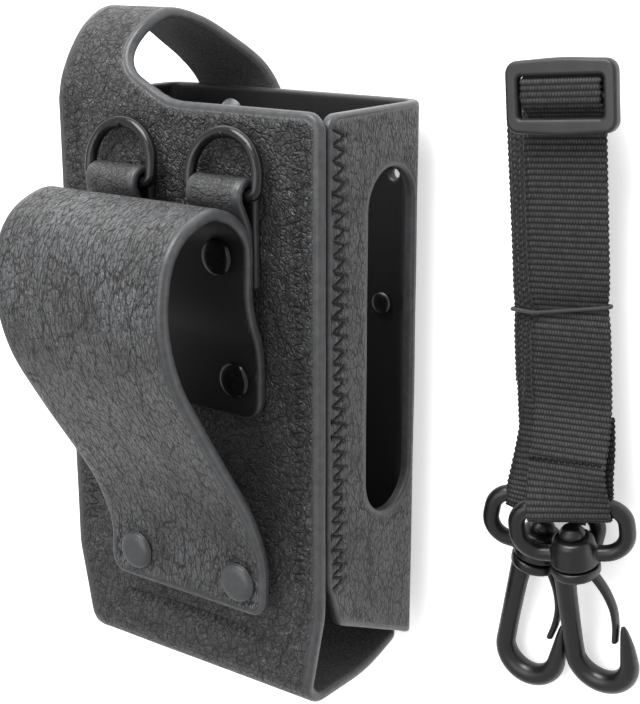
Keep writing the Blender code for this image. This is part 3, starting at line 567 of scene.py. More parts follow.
def leather(name, stretch, turn, cell, depth, tones, flesh, scratch=0.4, fine=0.5):
    """Pebbled black leather with smooth painted edges.

    stretch and turn lay its grain, cell is the grain's fineness and depth its bump in millimetres, tones
    are its valleys, painted darker as shade in the grain's hollows, and its crowns, and flesh is its inner side.
    """
    paint = Paint(name, (0.05, 0.05, 0.052), 0.5)
    step = paint.smoothstep
    flat = paint.attribute("flat")
    stretched = paint.scaled(flat, stretch, turn)
    pebble = paint.cells(paint.warped(stretched, 0.35, 1.6), cell, 0.16)
    small = paint.cells(paint.warped(stretched, 0.9, 0.7), cell * 2.0, 0.22)
    wide = paint.cells(paint.warped(stretched, 0.10, 6.0), cell * 0.24, 0.055)
    ridge = paint.noise(paint.warped(stretched, 0.2, 3.0), cell * 0.9, 3.0, 0.55, 0.4)
    crack = step(paint.off_middle(ridge), 0.0, 0.035)
    pores = paint.noise(flat, 3.4, 2.0, 0.7)
    layers = ((pebble, 0.46), (small, fine * 0.4), (crack, 0.22), (wide, 0.36), (pores, 0.08))
    height = paint.add(*(paint.times(layer, share) for layer, share in layers))

    grain = step(paint.attribute("edge", "Fac"), 0.2, 0.95)
    strokes = paint.noise(paint.scaled(flat, (0.35, 0.9, 1.0), 40.0), 0.8, 3.0, 0.6, 1.2)
    hair = step(paint.off_middle(strokes), 0.0, 0.012, 1.0, 0.0)
    hair = paint.times(hair, step(paint.noise(flat, 0.3, 2.0), 0.44, 0.6), grain, scratch)
    # Darker in the grain's valleys and lighter on its crowns: painted shade in the grain's hollows, with a broad
    # random tone over it.
    grain_shade_and_tone = paint.times(step(height, 0.45, 1.25), step(paint.noise(flat, 0.06, 3.0), 0.3, 0.7, 0.55, 1.15))
    low, high = tones
    face = paint.colour(grain_shade_and_tone, (low, low * 1.01, low * 1.03), (high, high * 1.02, high * 1.06))
    face = paint.colour(hair, face, (0.20, 0.20, 0.205))
    rim_tone = step(paint.noise(flat, 0.5, 3.0), 0.3, 0.7)
    rim = paint.colour(rim_tone, (0.034, 0.035, 0.037), (0.052, 0.053, 0.056))

    dark, light, worn = flesh
    fuzz = paint.noise(flat, 1.4, 4.0, 0.7)
    back = paint.colour(step(fuzz, 0.3, 0.7), (dark,) * 3, (light,) * 3)
    within = step(paint.attribute("side", "Fac"), 0.80, 0.98)
    paint.set("Base Color", paint.colour(within, paint.colour(grain, rim, face), back))
    rough_rim = step(paint.noise(flat, 0.9, 3.0), 0.3, 0.7, 0.34, 0.46)
    rough = paint.blend(grain, rough_rim, step(height, 0.3, 1.2, 0.66, 0.42))
    paint.set("Roughness", paint.blend(within, rough, worn))
    relief = paint.times(height, grain, paint.math("SUBTRACT", 1.0, within))
    paint.set_bump(paint.add(relief, paint.times(fuzz, within, light * 4.0)), depth)
    return paint.material


def liner():
    paint = Paint("liner_smooth_black", (0.016, 0.016, 0.017), 0.6)
    here = paint.position()
    cloud = paint.noise(here, 0.35, 4.0)
    paint.set("Base Color", paint.colour(cloud, (0.004, 0.004, 0.005), (0.012, 0.012, 0.013)))
    paint.set("Roughness", paint.smoothstep(cloud, 0.3, 0.7, 0.52, 0.7))
    paint.set_bump(paint.noise(here, 2.2, 4.0, 0.7), 0.06)
    return paint.material


def satin_metal(name, colour, roughness, metallic, speck, depth=0.004):
    paint = Paint(name, colour, roughness, metallic)
    here = paint.position()
    cloud = paint.noise(here, 0.8, 4.0, 0.6)
    light = tuple(c * 1.25 + 0.004 for c in colour)
    dark = tuple(c * 0.75 for c in colour)
    dust = paint.times(paint.smoothstep(paint.noise(here, 5.0, 2.0, 0.6), 0.68, 0.76), speck)
    paint.set("Base Color", paint.colour(dust, paint.colour(cloud, dark, light), (0.35, 0.35, 0.36)))
    paint.set("Roughness", paint.smoothstep(cloud, 0.3, 0.7, roughness - 0.06, roughness + 0.08))
    paint.set_bump(paint.noise(here, 3.0, 3.0), depth)
    return paint.material


def plastic(name, dark, light, roughness=0.34):
    """Black moulded plastic with a fine skin and faint rubbed patches."""
    paint = Paint(name, (dark, dark, dark), roughness)
    here = paint.position()
    cloud = paint.noise(here, 0.22, 3.0)
    rubbed = paint.smoothstep(paint.noise(here, 0.9, 4.0, 0.65), 0.55, 0.75)
    paint.set("Base Color", paint.colour(rubbed, (dark, dark, dark * 1.05), (light, light, light * 1.05)))
    rough = paint.smoothstep(cloud, 0.3, 0.7, roughness - 0.05, roughness + 0.07)
    paint.set("Roughness", paint.add(rough, paint.times(rubbed, 0.08)))
    paint.set_bump(paint.noise(here, 4.5, 2.0), 0.005)
    return paint.material


def woven(name):
    """Black polypropylene webbing: ribs across it, with the yarns' crowns painted brighter as light and the gaps
    of the weave painted darker as shade.
    """
    paint = Paint(name, (0.03, 0.03, 0.031), 0.55)
    flat = paint.attribute("flat")
    parts = paint.node("SeparateXYZ", {"Vector": flat}).outputs
    rows = paint.math("DIVIDE", parts["Y"], ROW_PITCH)
    odd = paint.math("MODULO", paint.math("FLOOR", rows), 2.0)
    columns = paint.add(paint.math("DIVIDE", parts["X"], RIB_PITCH), paint.times(odd, 0.5))
    crown = paint.math("ABSOLUTE", paint.math("SINE", paint.times(rows, math.pi)))
    rib = paint.add(paint.times(paint.math("COSINE", paint.times(columns, math.tau)), 0.5), 0.5)
    weave = paint.times(crown, paint.add(paint.times(rib, 0.6), 0.4))
    fibre = paint.noise(paint.scaled(flat, (6.0, 1.6, 1.0)), 1.0, 3.0, 0.7)
    fleck = paint.smoothstep(paint.noise(flat, 1.1, 3.0, 0.7), 0.3, 0.7, 0.45, 1.1)
    # Painted light and shade: brighter on the yarns' crowns, darker in the gaps of the weave, with random flecks
    # over it.
    shade = paint.times(weave, fleck, paint.smoothstep(fibre, 0.2, 0.8, 0.7, 1.2))
    paint.set("Base Color", paint.colour(shade, (0.002, 0.002, 0.002), (0.050, 0.050, 0.051)))
    paint.set("Roughness", paint.smoothstep(weave, 0.0, 1.0, 0.85, 0.5))
    paint.set_bump(paint.add(paint.times(fibre, 0.25), paint.times(weave, 0.15)), 0.12)
    paint.set("Specular IOR Level", 0.3)
    return paint.material


def thread_material(name, colour):
    paint = Paint(name, colour, 0.6)
    twist = paint.noise(paint.position(), 4.0, 3.0, 0.7)
    dark, light = (tuple(c * share for c in colour) for share in (0.4, 2.2))
    paint.set("Base Color", paint.colour(twist, dark, light))
    paint.set_bump(twist, 0.08)
    paint.set("Specular IOR Level", 0.25)
    return paint.material


# Flesh side of the leather: its dark and light tones and its roughness
SMOOTH_FLESH = (0.003, 0.009, 0.5)
ROUGH_FLESH = (0.022, 0.075, 0.9)
# The back's leather takes much darker tones and the belt loop's much lighter ones than the sides: painted shade
# on the back panel, which lies in the loop's shadow, and painted light on the loop, whose top faces the key
# light.
SHADED_BACK_LEATHER = leather("leather_back_painted_shade", (1.0, 0.8, 1.0), 25.0, 0.60, 0.62, (0.004, 0.033), ROUGH_FLESH, 1.0)
SIDE_LEATHER = leather("leather_side", (0.60, 1.25, 1.0), 0.0, 0.60, 0.60, (0.010, 0.070), SMOOTH_FLESH, 0.2)
LIT_LOOP_LEATHER = leather(
    "leather_loop_painted_light", (1.45, 0.55, 1.0), 40.0, 0.56, 0.66, (0.010, 0.098), SMOOTH_FLESH, scratch=0.3, fine=0.7
)
TAB_LEATHER = leather("leather_tab", (1.0, 1.0, 1.0), 0.0, 0.8, 0.22, (0.014, 0.05), SMOOTH_FLESH, 0.2)
LINER = liner()
SNAP_PAINT = satin_metal("paint_satin_grey", (0.050, 0.051, 0.054), 0.36, 0.25, 0.25)
WIRE_PAINT = satin_metal("paint_gloss_black", (0.007, 0.007, 0.008), 0.20, 0.2, 0.05, 0.0012)
STEEL = satin_metal("steel_bright", (0.34, 0.34, 0.35), 0.3, 1.0, 0.1)
# Bright steel coloured dark and dull: painted shade for the front rivets, whose tails sit in the dark inside of
# the case.
SHADED_STEEL = satin_metal("steel_painted_shade", (0.09, 0.09, 0.095), 0.34, 1.0, 0.05)
PLASTIC = plastic("plastic_satin_black", 0.004, 0.011)
SLIDER_PLASTIC = plastic("plastic_slider", 0.012, 0.024, 0.42)
WEBBING = woven("webbing_front")
THREAD = thread_material("thread_black", (0.003, 0.003, 0.003))
ELASTIC = thread_material("elastic_black", (0.03, 0.03, 0.031))


# ---------------------------------------------------------------- seams


def zigzag(start, run, across, length):
    """Corner points of a zigzag on the flat pattern, from a start point along a direction."""
    start, run, across = Vector(start), Vector(run), Vector(across)
    count = int(length / SEAM_PITCH * 2)
    return [start + run * (SEAM_PITCH / 2 * k) + across * (SEAM_WIDTH * (k % 2)) for k in range(count + 1)]


def seam_relief(seams, strength=1.0):
    """How far the face is pressed in along the stitches, and puffed up between them."""
    runs = [(np.array(a), np.array(b)) for seam in seams for a, b in zip(seam, seam[1:])]

    def relief(flat):
        depth = np.zeros(len(flat))
        for a, b in runs:
            near = (np.abs(flat[:, 0] - (a[0] + b[0]) / 2) < 5) & (np.abs(flat[:, 1] - (a[1] + b[1]) / 2) < 5)
            if not near.any():
                continue
            some = flat[near]
            run = b - a
            share = np.clip(((some - a) @ run) / (run @ run), 0, 1)
            gap = np.linalg.norm(some - a - share[:, None] * run, axis=1)
            press = 0.42 * np.exp(-((gap / 0.55) ** 2)) - 0.16 * np.exp(-(((gap - 1.35) / 0.6) ** 2))
            chosen = depth[near]
            depth[near] = np.where(np.abs(press) > np.abs(chosen), press, chosen)
        return depth * strength

    return relief


def stitch_thread(name, seams, lay, wire=0.38, sunk=0.62):
    """One short capsule of thread for each stitch, its ends dipping into the leather."""
    points, faces = [], []
    for seam in seams:
        for a, b in zip(seam, seam[1:]):
            steps, sides = 8, 8
            first = len(points)
            run = Vector(b) - Vector(a)
            flat = np.array([tuple(Vector(a) + run * (0.04 + 0.92 * k / steps)) for k in range(steps + 1)])
            bow = np.array([math.sin(math.pi * k / steps) for k in range(steps + 1)])
            line = lay(flat, sunk + 0.2 - 0.55 * bow ** 0.4)
            lifted = lay(flat, np.full(steps + 1, -2.0)) - lay(flat, np.zeros(steps + 1))
            for k in range(steps + 1):
                along = Vector(line[min(k + 1, steps)] - line[max(k - 1, 0)]).normalized()
                up = Vector(lifted[k]).normalized()
                side = along.cross(up).normalized()
                up = side.cross(along)
                radius = wire * (0.75 + 0.25 * bow[k])
                for s in range(sides):
                    angle = math.tau * s / sides
                    spot = Vector(line[k]) + (side * math.cos(angle) + up * math.sin(angle)) * radius
                    points.append(tuple(spot))
            faces += tube_faces(steps + 1, sides, first)
    settle(place_mesh(name, points, faces), THREAD, "case", "webbing")


# ---------------------------------------------------------------- holster leather


def build_back():
    """Back panel, bottom sling, tongue and top strap, all cut from one piece."""
    lower = arc_path(
        [
            (TONGUE_OUTER, TONGUE_TOP, 0.0), (TONGUE_OUTER, 3.7, 6.0), (27.0, -3.0, 40.0), (0.0, -2.8, 7.5),
            (0.0, 40.0, 0.0),
        ],
        step=6.0,
    )
    knots = [
        (0.0, 147.0), (1.4, 153.0), STRAP_ROOT, (10.9, 166.2), (19.0, 169.6), (29.5, 167.2), (38.2, 161.6),
        STRAP_FRONT, (49.2, 148.0), (49.3, 139.0), (49.3, 112.0),
    ]
    upper = smooth_path(knots, 10)
    path = lower + upper
    marks = lengths_along(path)
    foot = marks[len(lower) - 1]

    def height(z):
        return foot + z - 40.0

    rim = height(RIM_HEIGHT)
    sling_front = TONGUE_TOP - 3.7 + 4.0
    hinge = marks[path.index(STRAP_ROOT)]
    front = marks[path.index(STRAP_FRONT)]
    end = marks[-1]
    outline = arc_path(
        [
            (24.0, 0.0, 6.0), (24.0, sling_front, 2.5), (38.0, sling_front, 5.0), (38.0, height(2.0), 20.0),
            (HALF_WIDTH, height(24.0), 20.0), (HALF_WIDTH, rim, 4.5), (-4.0, rim, 16.0),
            (-21.6, height(157.6), 9.0), (-17.5, hinge + (front - hinge) * 0.55, 40.0), (-9.5, front, 60.0),
            (3.5, end - 4.0, 10.0), (-6.0, end, 12.0), (-19.5, end - 4.0, 10.0), (-38.0, front, 60.0),
            (-41.3, hinge + (front - hinge) * 0.45, 60.0), (-HALF_WIDTH, height(147.0), 30.0),
            (-HALF_WIDTH, height(24.0), 20.0), (-38.0, height(2.0), 20.0), (-38.0, sling_front, 5.0),
            (-24.0, sling_front, 2.5), (-24.0, 0.0, 6.0),
        ]
    )
    lay = fold_map(path, -1.0, "yz")
    low = height(SEAM_LOW + 2.0)
    length = height(SEAM_HIGH) - low
    seams = [zigzag((side * 38.2, low), (0, 1), (-side, 0), length) for side in (-1, 1)]
    patches = [(31.6, low - 1, 39.2, low + length + 1), (-39.2, low - 1, -31.6, low + length + 1)]
    patches.append((-27.0, height(11.0), 27.0, height(17.5)))
    press = seam_relief(seams, 0.5)

    def relief(flat):
        """Seams, the pressed crease low on the back and the seat of the belt loop."""
        bow = height(13.9) + 0.9 * np.cos(flat[:, 0] / 24.0 * math.pi / 2)
        reach = ease((26.0 - np.abs(flat[:, 0])) / 5.0)
        crease = 1.25 * np.exp(-(((flat[:, 1] - bow) / 0.75) ** 2)) * reach
        swell = -0.30 * np.exp(-(((flat[:, 1] - bow + 3.2) / 2.2) ** 2)) * reach
        return press(flat) + crease + swell

    node = leather_sheet("back_leather", [outline], lay, LEATHER, patches=patches, relief=relief, band=3.0)
    settle(node, SHADED_BACK_LEATHER, None, "black_leather", "back_panel", "top_strap")
    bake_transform(node)
    stitch_thread("back_seam_thread", seams, lay, 0.26, 0.66)


def build_side_wrap():
    """Front and both sides, one piece folded at the front corners."""
    path = arc_path(
        [
            (HALF_WIDTH, SIDE_REAR, 0.0), (HALF_WIDTH, FRONT_OUTER, 6.0), (-HALF_WIDTH, FRONT_OUTER, 6.0),
            (-HALF_WIDTH, SIDE_REAR, 0.0),
        ],
        step=6.0,
    )
    total = lengths_along(path)[-1]
    half = [
        (0.0, RIM_HEIGHT - 1.0, 4.0), (0.0, 32.0, 6.0), (5.2, 18.9, 4.0), (41.0, 2.4, 2.0), (43.8, 8.2, 2.0),
    ]
    corners = [(z, s, r) for s, z, r in half] + [(z, total - s, r) for s, z, r in reversed(half)]
    loops = [arc_path(corners)]
    slot = [(44.0, 16.4), (44.0, 36.4), (133.0, 36.4), (133.0, 16.4)]
    for turn in (lambda s: s, lambda s: total - s):
        loops.append(arc_path([(z, turn(s), 9.99) for z, s in slot], step=10.0))
    middle = total / 2
    loops.append(arc_path([(z, middle + x, 6.0) for z, x in ((38, -23), (38, 23), (110, 23), (110, -23))]))
    for side in (-1, 1):
        loops.append([
            (129.0 + 1.3 * math.cos(math.tau * k / 12), middle + side * 34.0 + 1.3 * math.sin(math.tau * k / 12))
            for k in range(12)
        ])
    lay = fold_map(path, 1.0, "xy")
    length = SEAM_HIGH - SEAM_LOW
    seams = [
        zigzag((SEAM_LOW, 1.2), (1, 0), (0, 1), length),
        zigzag((SEAM_LOW, total - 1.2), (1, 0), (0, -1), length),
    ]
    patches = [(SEAM_LOW - 1, 0.4, SEAM_HIGH + 1, 8.0), (SEAM_LOW - 1, total - 8.0, SEAM_HIGH + 1, total - 0.4)]
    node = leather_sheet(
        "side_leather", loops, lay, LEATHER, rim=1.0, patches=patches, relief=seam_relief(seams), band=2.0
    )
    settle(node, SIDE_LEATHER, "case", "black_leather", "front_side_wrap")
    stitch_thread("side_seam_thread", seams, lay)


def build_belt_loop():
    """Belt loop: one strip from the snapped lower end, over the top, down to the riveted base."""
    knots = [
        (-6.2, 22.7), (-6.2, 29.0), (-6.2, 36.0), (-8.3, 43.0), (-13.5, 54.0), (-26.0, 74.5), (-34.2, 89.5),
        (-37.8, 102.0), (-37.6, 112.0), (-35.0, 120.0), (-29.6, 125.4), LOOP_TOP, (-15.0, 127.3),
        (-10.6, 124.9), (-7.4, 121.6), (-5.6, 118.0), (-5.3, 113.0), (-5.3, 105.5), (-4.1, 100.0),
        (-1.4, 93.5), (-0.3, 87.0), (-0.3, 80.0), (-0.3, 73.5),
    ]
    path = smooth_path(knots, 8)
    marks = lengths_along(path)
    hinge = marks[path.index(LOOP_TOP)]
    total = marks[-1]
    low, high = -23.0, 29.0
    outline = arc_path(
        [
            (low, 0.0, 4.5), (high, 0.0, 4.5), (high, 30.0, 120.0), (27.0, hinge * 0.6, 120.0),
            (27.0, hinge + 18.0, 60.0), (26.0, total, 5.0), (-26.0, total, 5.0), (-27.0, hinge + 18.0, 60.0),
            (-27.0, hinge * 0.6, 120.0), (low, 30.0, 120.0),
        ]
    )
    lay = fold_map(path, -1.0, "yz")
    snaps = [(x, SNAP_HEIGHT - 22.7) for x in SNAP_X]

    def relief(flat):
        """A shallow dish round each snap cap."""
        depth = np.zeros(len(flat))
        for x, s in snaps:
            gap = np.hypot(flat[:, 0] - x, flat[:, 1] - s)
            depth += 0.35 * np.exp(-(((gap - 5.4) / 1.1) ** 2)) - 0.12 * np.exp(-(((gap - 8.0) / 1.6) ** 2))
        return depth

    patches = [(x - 8, s - 8, x + 8, s + 8) for x, s in snaps]
    node = leather_sheet(
        "belt_loop_leather", [outline], lay, LEATHER, step=1.8, rim=1.1, band=2.1, patches=patches, relief=relief
    )
    settle(node, LIT_LOOP_LEATHER, None, "black_leather", "belt_loop_flap", "belt_loop_base")
    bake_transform(node)


def build_liner():
    """Thin lining of the back, and the corner strips that the zigzag seams are sewn through."""
    lay = fold_map([(LINING_FACE, 0.0), (LINING_FACE, 160.0)], -1.0, "yz")
    outline = [(-29.5, LINING_LOW), (29.5, LINING_LOW), (29.5, 147.6), (-29.5, 147.6)]
    node = leather_sheet("liner_sheet", [outline], lay, 1.0, step=6.0, rim=0.4, wave=0.0, band=2.0)
    settle(node, LINER, "case", "lining", "back_lining")
    for side, label in ((-1, "left"), (1, "right")):
        fold = arc_path(
            [(side * 38.7, 14.0, 0.0), (side * 38.7, LINING_FACE, 2.2), (side * 29.9, LINING_FACE, 0.0)], step=9.0
        )
        across = lengths_along(fold)[-1]
        outline = arc_path([(32.0, 0.0, 1.5), (146.0, 0.0, 1.5), (146.0, across, 1.5), (32.0, across, 1.5)])
        lay = fold_map(fold, -side, "xy")
        node = leather_sheet(
            f"corner_leather_{label}", [outline], lay, 1.5, step=2.2, rim=0.5, wave=0.04, band=1.2
        )
        settle(node, LINER, "case", "lining", f"corner_strip_{label}")


def build_tabs():
    top = RING_BAR[1] + 1.9 + 2.2
    fold = arc_path(
        [
            (-0.3, 106.0, 0.0), (-0.3, top, 4.09), (-8.5, top, 4.09), (-8.5, 127.5, 3.0), (-5.0, 120.5, 6.0),
            (-5.0, 106.0, 0.0),
        ],
        step=8.0,
    )
    length = lengths_along(fold)[-1]
    for side, label in ((-1, "left"), (1, "right")):
        low, high = side * RING_X - 8.25, side * RING_X + 8.25
        outline = arc_path([(low, 0.0, 1.0), (high, 0.0, 1.0), (high, length, 1.0), (low, length, 1.0)])
        lay = fold_map(fold, 1.0, "yz")
        node = leather_sheet(f"tab_leather_{label}", [outline], lay, 2.2, step=1.4, rim=0.9, band=2.6, wave=0.05)
        settle(node, TAB_LEATHER, "case", "black_leather", f"d_ring_tab_{label}")


# ---------------------------------------------------------------- fasteners


def facing_back(x, y, z):
    return LAY_DOWN @ shift(x, y, z) @ rotation(90.0, "X")


def facing_front(x, y, z):
    return LAY_DOWN @ shift(x, y, z) @ rotation(-90.0, "X")


def cap_profile(radius, height, flat_radius=0.0):
    """A low domed cap with a rolled edge, a little undercut where it meets the leather."""
    lip, base = 0.25, 0.3
    points = [(0.0, base - 0.25), (radius - 0.5, base - 0.25), (radius - 0.12, base)]
    points += [(radius, base + lip * 0.5), (radius - 0.10, base + lip)]
    for k in range(1, 10):
        angle = math.radians(90.0 * k / 10)
        ring = flat_radius + (radius - 0.2 - flat_radius) * math.cos(angle)
        points.append((ring, base + lip + (height - lip) * math.sin(angle)))
    if flat_radius:
        points.append((flat_radius, base + height))
    return points + [(0.0, base + height)]


def rivet_body(profile, grip, tail_radius):
    """A cap with its stem and the tail that is set on the inside."""
    low = -grip - 0.3
    tail = [
        (0.0, low - 0.9), (tail_radius * 0.55, low - 0.9), (tail_radius - 0.3, low - 0.75),
        (tail_radius, low - 0.4), (tail_radius, low), (1.6, low), (1.6, profile[1][1]),
    ]
    return tail + profile[1:]


def fastener(name, profile, matrix, finish, slot, node, body="case", sides=40):
    settle(turned(name, profile, matrix, sides), finish, body, slot, node, sharp=SHARP_EDGE)


def build_fasteners():
    for side, label in ((-1, "left"), (1, "right")):
        for name, z, face in (("upper", 114.6, 9.0), ("lower", 83.0, 3.3)):
            place = facing_back(side * RIVET_X, -face, z)
            shape = rivet_body(cap_profile(4.5, 1.1, 1.5), face + 4.3, 3.6)
            node = f"{name}_rivet_{label}"
            fastener(f"{name}_rivet_set_{label}", shape, place, WIRE_PAINT, "painted_wire", node)
        place = facing_front(side * 19.0, TONGUE_OUTER, 16.0)
        shape = rivet_body(cap_profile(4.8, 1.7, 2.6), TONGUE_OUTER - FRONT_OUTER + LEATHER, 3.8)
        fastener(f"tongue_rivet_set_{label}", shape, place, SNAP_PAINT, "snap_paint", f"tongue_rivet_{label}")
        place = facing_front(side * 31.0, FRONT_OUTER, 95.0)
        shape = rivet_body(cap_profile(3.8, 1.1, 1.5), LEATHER, 2.9)
        # The front rivets take the darkened steel: painted shade of the case's inside.
        fastener(f"front_rivet_set_{label}", shape, place, SHADED_STEEL, "bright_steel", f"front_rivet_{label}")
    stud = [(0.0, -2.6), (1.5, -2.6)] + cap_profile(3.6, 1.2)[1:]
    fastener("rim_stud_set", stud, facing_front(12.0, 4.6, 146.2), SNAP_PAINT, "bright_steel", "rim_stud")
    for x, label in zip(SNAP_X, ("left", "right")):
        cap = [(0.0, -2.6), (1.6, -2.6)] + cap_profile(5.2, 1.5, 2.2)[1:]
        place = facing_back(x, -6.2, SNAP_HEIGHT)
        node = f"belt_snap_cap_{label}"
        fastener(f"belt_cap_{label}", cap, place, SNAP_PAINT, "snap_paint", node, "belt_flap", 56)
    cap = [(0.0, -1.2), (1.6, -1.2)] + cap_profile(5.2, 1.2, 2.6)[1:]
    place = facing_front(TOP_SNAP[0], 49.3, TOP_SNAP[1])
    fastener("top_strap_cap", cap, place, SNAP_PAINT, "snap_paint", "top_snap_cap", "top_strap", 56)


def build_rings():
    outline = arc_path(
        [
            (-10.25, 0.0, 2.0), (10.25, 0.0, 2.0), (10.25, 14.25, 10.24), (-10.25, 14.25, 10.24),
        ],
        step=6.0,
    )
    for side, label in ((-1, "left"), (1, "right")):
        matrix = LAY_DOWN @ shift(side * RING_X, *RING_BAR) @ rotation(-RING_LEAN, "X")
        points, faces = sweep(outline, 1.5, 20, closed=True)
        node = place_mesh(f"ring_wire_{label}", points, faces, matrix)
        settle(node, WIRE_PAINT, f"d_ring_{label}", "painted_wire", f"d_ring_{label}")


# ---------------------------------------------------------------- shoulder strap


def squeeze(points):
    """Draw the folded webbing in under the elastic tie."""
    points = np.array(points)
    tie = TIE_Z + TIE_SLANT * (points[:, 0] - TIE_X)
    tight = np.exp(-(((points[:, 2] - tie) / 3.6) ** 2))
    mid_y = (HANK_TOP + TABLE) / 2
    centre = TIE_X + (points[:, 1] - mid_y) * -LAYER_SHIFT / WEB_PITCH
    points[:, 1] = mid_y + (points[:, 1] - mid_y) * (1 - 0.26 * tight)
    points[:, 0] = centre + (points[:, 0] - centre) * (1 - 0.10 * tight)
    return points


def ribbon(name, spots, widths, matrix, fine, half=WEB_HALF, thick=0.96, step=None, shape=None):
    """Webbing along a smooth path: spots are its middle line and widths the way its width runs."""
    step = step or (0.24 if fine else ROW_PITCH / 4)
    marks = np.array(lengths_along([tuple(p) for p in spots]))
    count = max(2, int(marks[-1] / step))
    at = np.linspace(0.0, marks[-1], count + 1)
    line, wide = (
        np.stack([np.interp(at, marks, np.array(rows)[:, k]) for k in range(3)], 1) for rows in (spots, widths)
    )
    for _ in range(2):
        line[1:-1] = (line[:-2] + 2 * line[1:-1] + line[2:]) / 4
    tangent = np.gradient(line, axis=0)
    tangent /= np.linalg.norm(tangent, axis=1)[:, None]
    wide /= np.linalg.norm(wide, axis=1)[:, None]
    out = np.cross(wide, tangent)
    out /= np.linalg.norm(out, axis=1)[:, None]
    columns = int(2 * half / (0.2 if fine else 0.38))
    share = np.concatenate([np.linspace(-1.0, 1.0, columns), np.linspace(1.0, -1.0, 12)])
    face = np.where(np.arange(len(share)) < columns, thick / 2, -thick / 2)
    ring_u = share * half
    ring_h = face * (0.25 + 0.75 * ease((1 - np.abs(share)) / 0.05) ** 0.5)
    ring = len(share)
    rows = at[:, None] / ROW_PITCH
    crown = np.abs(np.sin(np.pi * rows))
    rib = 0.5 + 0.5 * np.cos(math.tau * (ring_u[None, :] / RIB_PITCH + 0.5 * (np.floor(rows) % 2)))
    weave = crown * (0.4 + 0.6 * rib)
    lift = 0.24 * (weave - 0.6)
    heights = ring_h[None, :] + np.sign(ring_h)[None, :] * lift
    edge = np.abs(ring_u)[None, :] > half * 0.985
    sideways = ring_u[None, :] + np.where(edge, np.sign(ring_u)[None, :] * 0.30 * (crown - 0.5), 0.0)
    points = line[:, None, :] + sideways[..., None] * wide[:, None, :] + heights[..., None] * out[:, None, :]
    points = points.reshape(-1, 3)
    if shape:
        points = shape(points)
    flat = [np.broadcast_to(part, (count + 1, ring)).ravel() for part in (ring_u, at[:, None], ring_h)]
    node = place_mesh(name, points, tube_faces(count + 1, ring), matrix, {"flat": np.stack(flat, 1)})
    return node, float(marks[-1])


def spot(x, y, z):
    """A point of the webbing's line, in the precision of a mesh."""
    return tuple(Vector((x, y, z)))


def layer_y(index):
    return HANK_TOP + WEB_PITCH * (index + 0.5)


def layer_x(index):
    return -LAYER_SHIFT * index


def bar_matrix(bar):
    place, turn = bar
    return shift(*place) @ Euler([math.radians(angle) for angle in turn], "ZYX").to_matrix().to_4x4()


def round_bar(bar, back, front):
    """Lines of the webbing and of its width round a hook's bar, from points behind to points in front."""
    matrix = bar_matrix(bar)
    turn = []
    for k in range(13):
        angle = math.radians(10.0 + 14.0 * k)
        turn.append(matrix @ Vector((0.0, LOOP_RADIUS * math.cos(angle), -LOOP_RADIUS * math.sin(angle))))
    across = tuple(matrix.to_3x3() @ Vector(STRAIGHT))
    widths = [STRAIGHT] * len(back) + [across] * len(turn) + [STRAIGHT] * len(front)
    return smooth_path([spot(*point) for point in (*back, *turn, *front)]), smooth_path(widths)


def fold_over(low_index, z, turn_up):
    """Points of the half turn from one layer to the next, beyond height z."""
    y0, y1 = layer_y(low_index), layer_y(low_index + 1)
    x0, x1 = layer_x(low_index), layer_x(low_index + 1)
    spots = []
    for k in range(1, 6):
        angle = math.pi * k / 6
        share = (1 - math.cos(angle)) / 2
        reach = 0.9 * math.sin(angle) * (1 if turn_up else -1)
        spots.append(spot(x0 + (x1 - x0) * share, y0 + (y1 - y0) * share, z + reach))
    return spots


def build_webbing():
    """The shoulder strap: a front run over the upper hook's bar, the folds behind it, the lower loop."""
    top = 94.4
    back = [(0.0, layer_y(1) + 0.1, 16.0), (0.1, layer_y(1) - 0.2, 8.0), (0.3, 39.7, 0.0)]
    front = [(0.4, 34.9, 3.0), (0.2, 38.0, 10.5), (0.0, layer_y(0) - 0.3, 18.0), (0.0, layer_y(0), 24.0)]
    bend, widths = round_bar(UPPER_BAR, back, front)
    climb = [(0.0, layer_y(0), z) for z in (*np.arange(28.0, top, 4.0), top)]
    end = [(layer_x(1), layer_y(1), top - 1.0), (layer_x(1), layer_y(1), top - 6.0)]
    line = bend + climb + fold_over(0, top, True) + end
    widths += [STRAIGHT] * (len(line) - len(widths))
    node, length = ribbon("strap_front_run", line, widths, STRAP_SET, True, shape=squeeze)
    settle(node, WEBBING, "strap", "webbing", "strap_webbing")

    bottoms = {1: 19.0, 3: 18.0, 5: 3.4, 7: 2.8}
    down = [(-6.0, layer_y(3) - 0.3, 13.0), (-7.0, 42.4, 6.0), (-7.9, 40.0, -1.5)]
    climb = [(-8.2, 46.7, 0.0), (-7.2, 45.6, 7.0), (-6.2, layer_y(4), 14.0)]
    lower_turn, lower_widths = (rows[::-1] for rows in round_bar(LOWER_BAR, climb[::-1], down[::-1]))
    line = [spot(layer_x(1), layer_y(1), top - 6.6)]
    widths = []
    for index in range(1, LAYERS):
        foot = bottoms.get(index if index % 2 else index - 1, 20.0)
        head = top - 7.0 if index == 1 else top
        start, stop = (head, foot) if index % 2 else (foot, head)
        for k in range(25):
            z = start + (stop - start) * k / 24
            wander = 0.35 * noise.noise(Vector((z * 0.03, index * 3.7, 0.0)))
            slant = float(ease((34.0 - z) / 40.0)) * (-7.6 - layer_x(index)) if index in (3, 4) else 0.0
            line.append(spot(layer_x(index) + wander + slant, layer_y(index), z))
        widths += [STRAIGHT] * (len(line) - len(widths))
        if index == 3:
            line += lower_turn
            widths += lower_widths
        elif index < LAYERS - 1:
            line += fold_over(index, stop, index % 2 == 0)
    widths += [STRAIGHT] * (len(line) - len(widths))
    node, length = ribbon("strap_folds", line, widths, STRAP_SET, False, shape=squeeze)
    settle(node, WEBBING, "strap", "webbing")
    build_sewn_end()


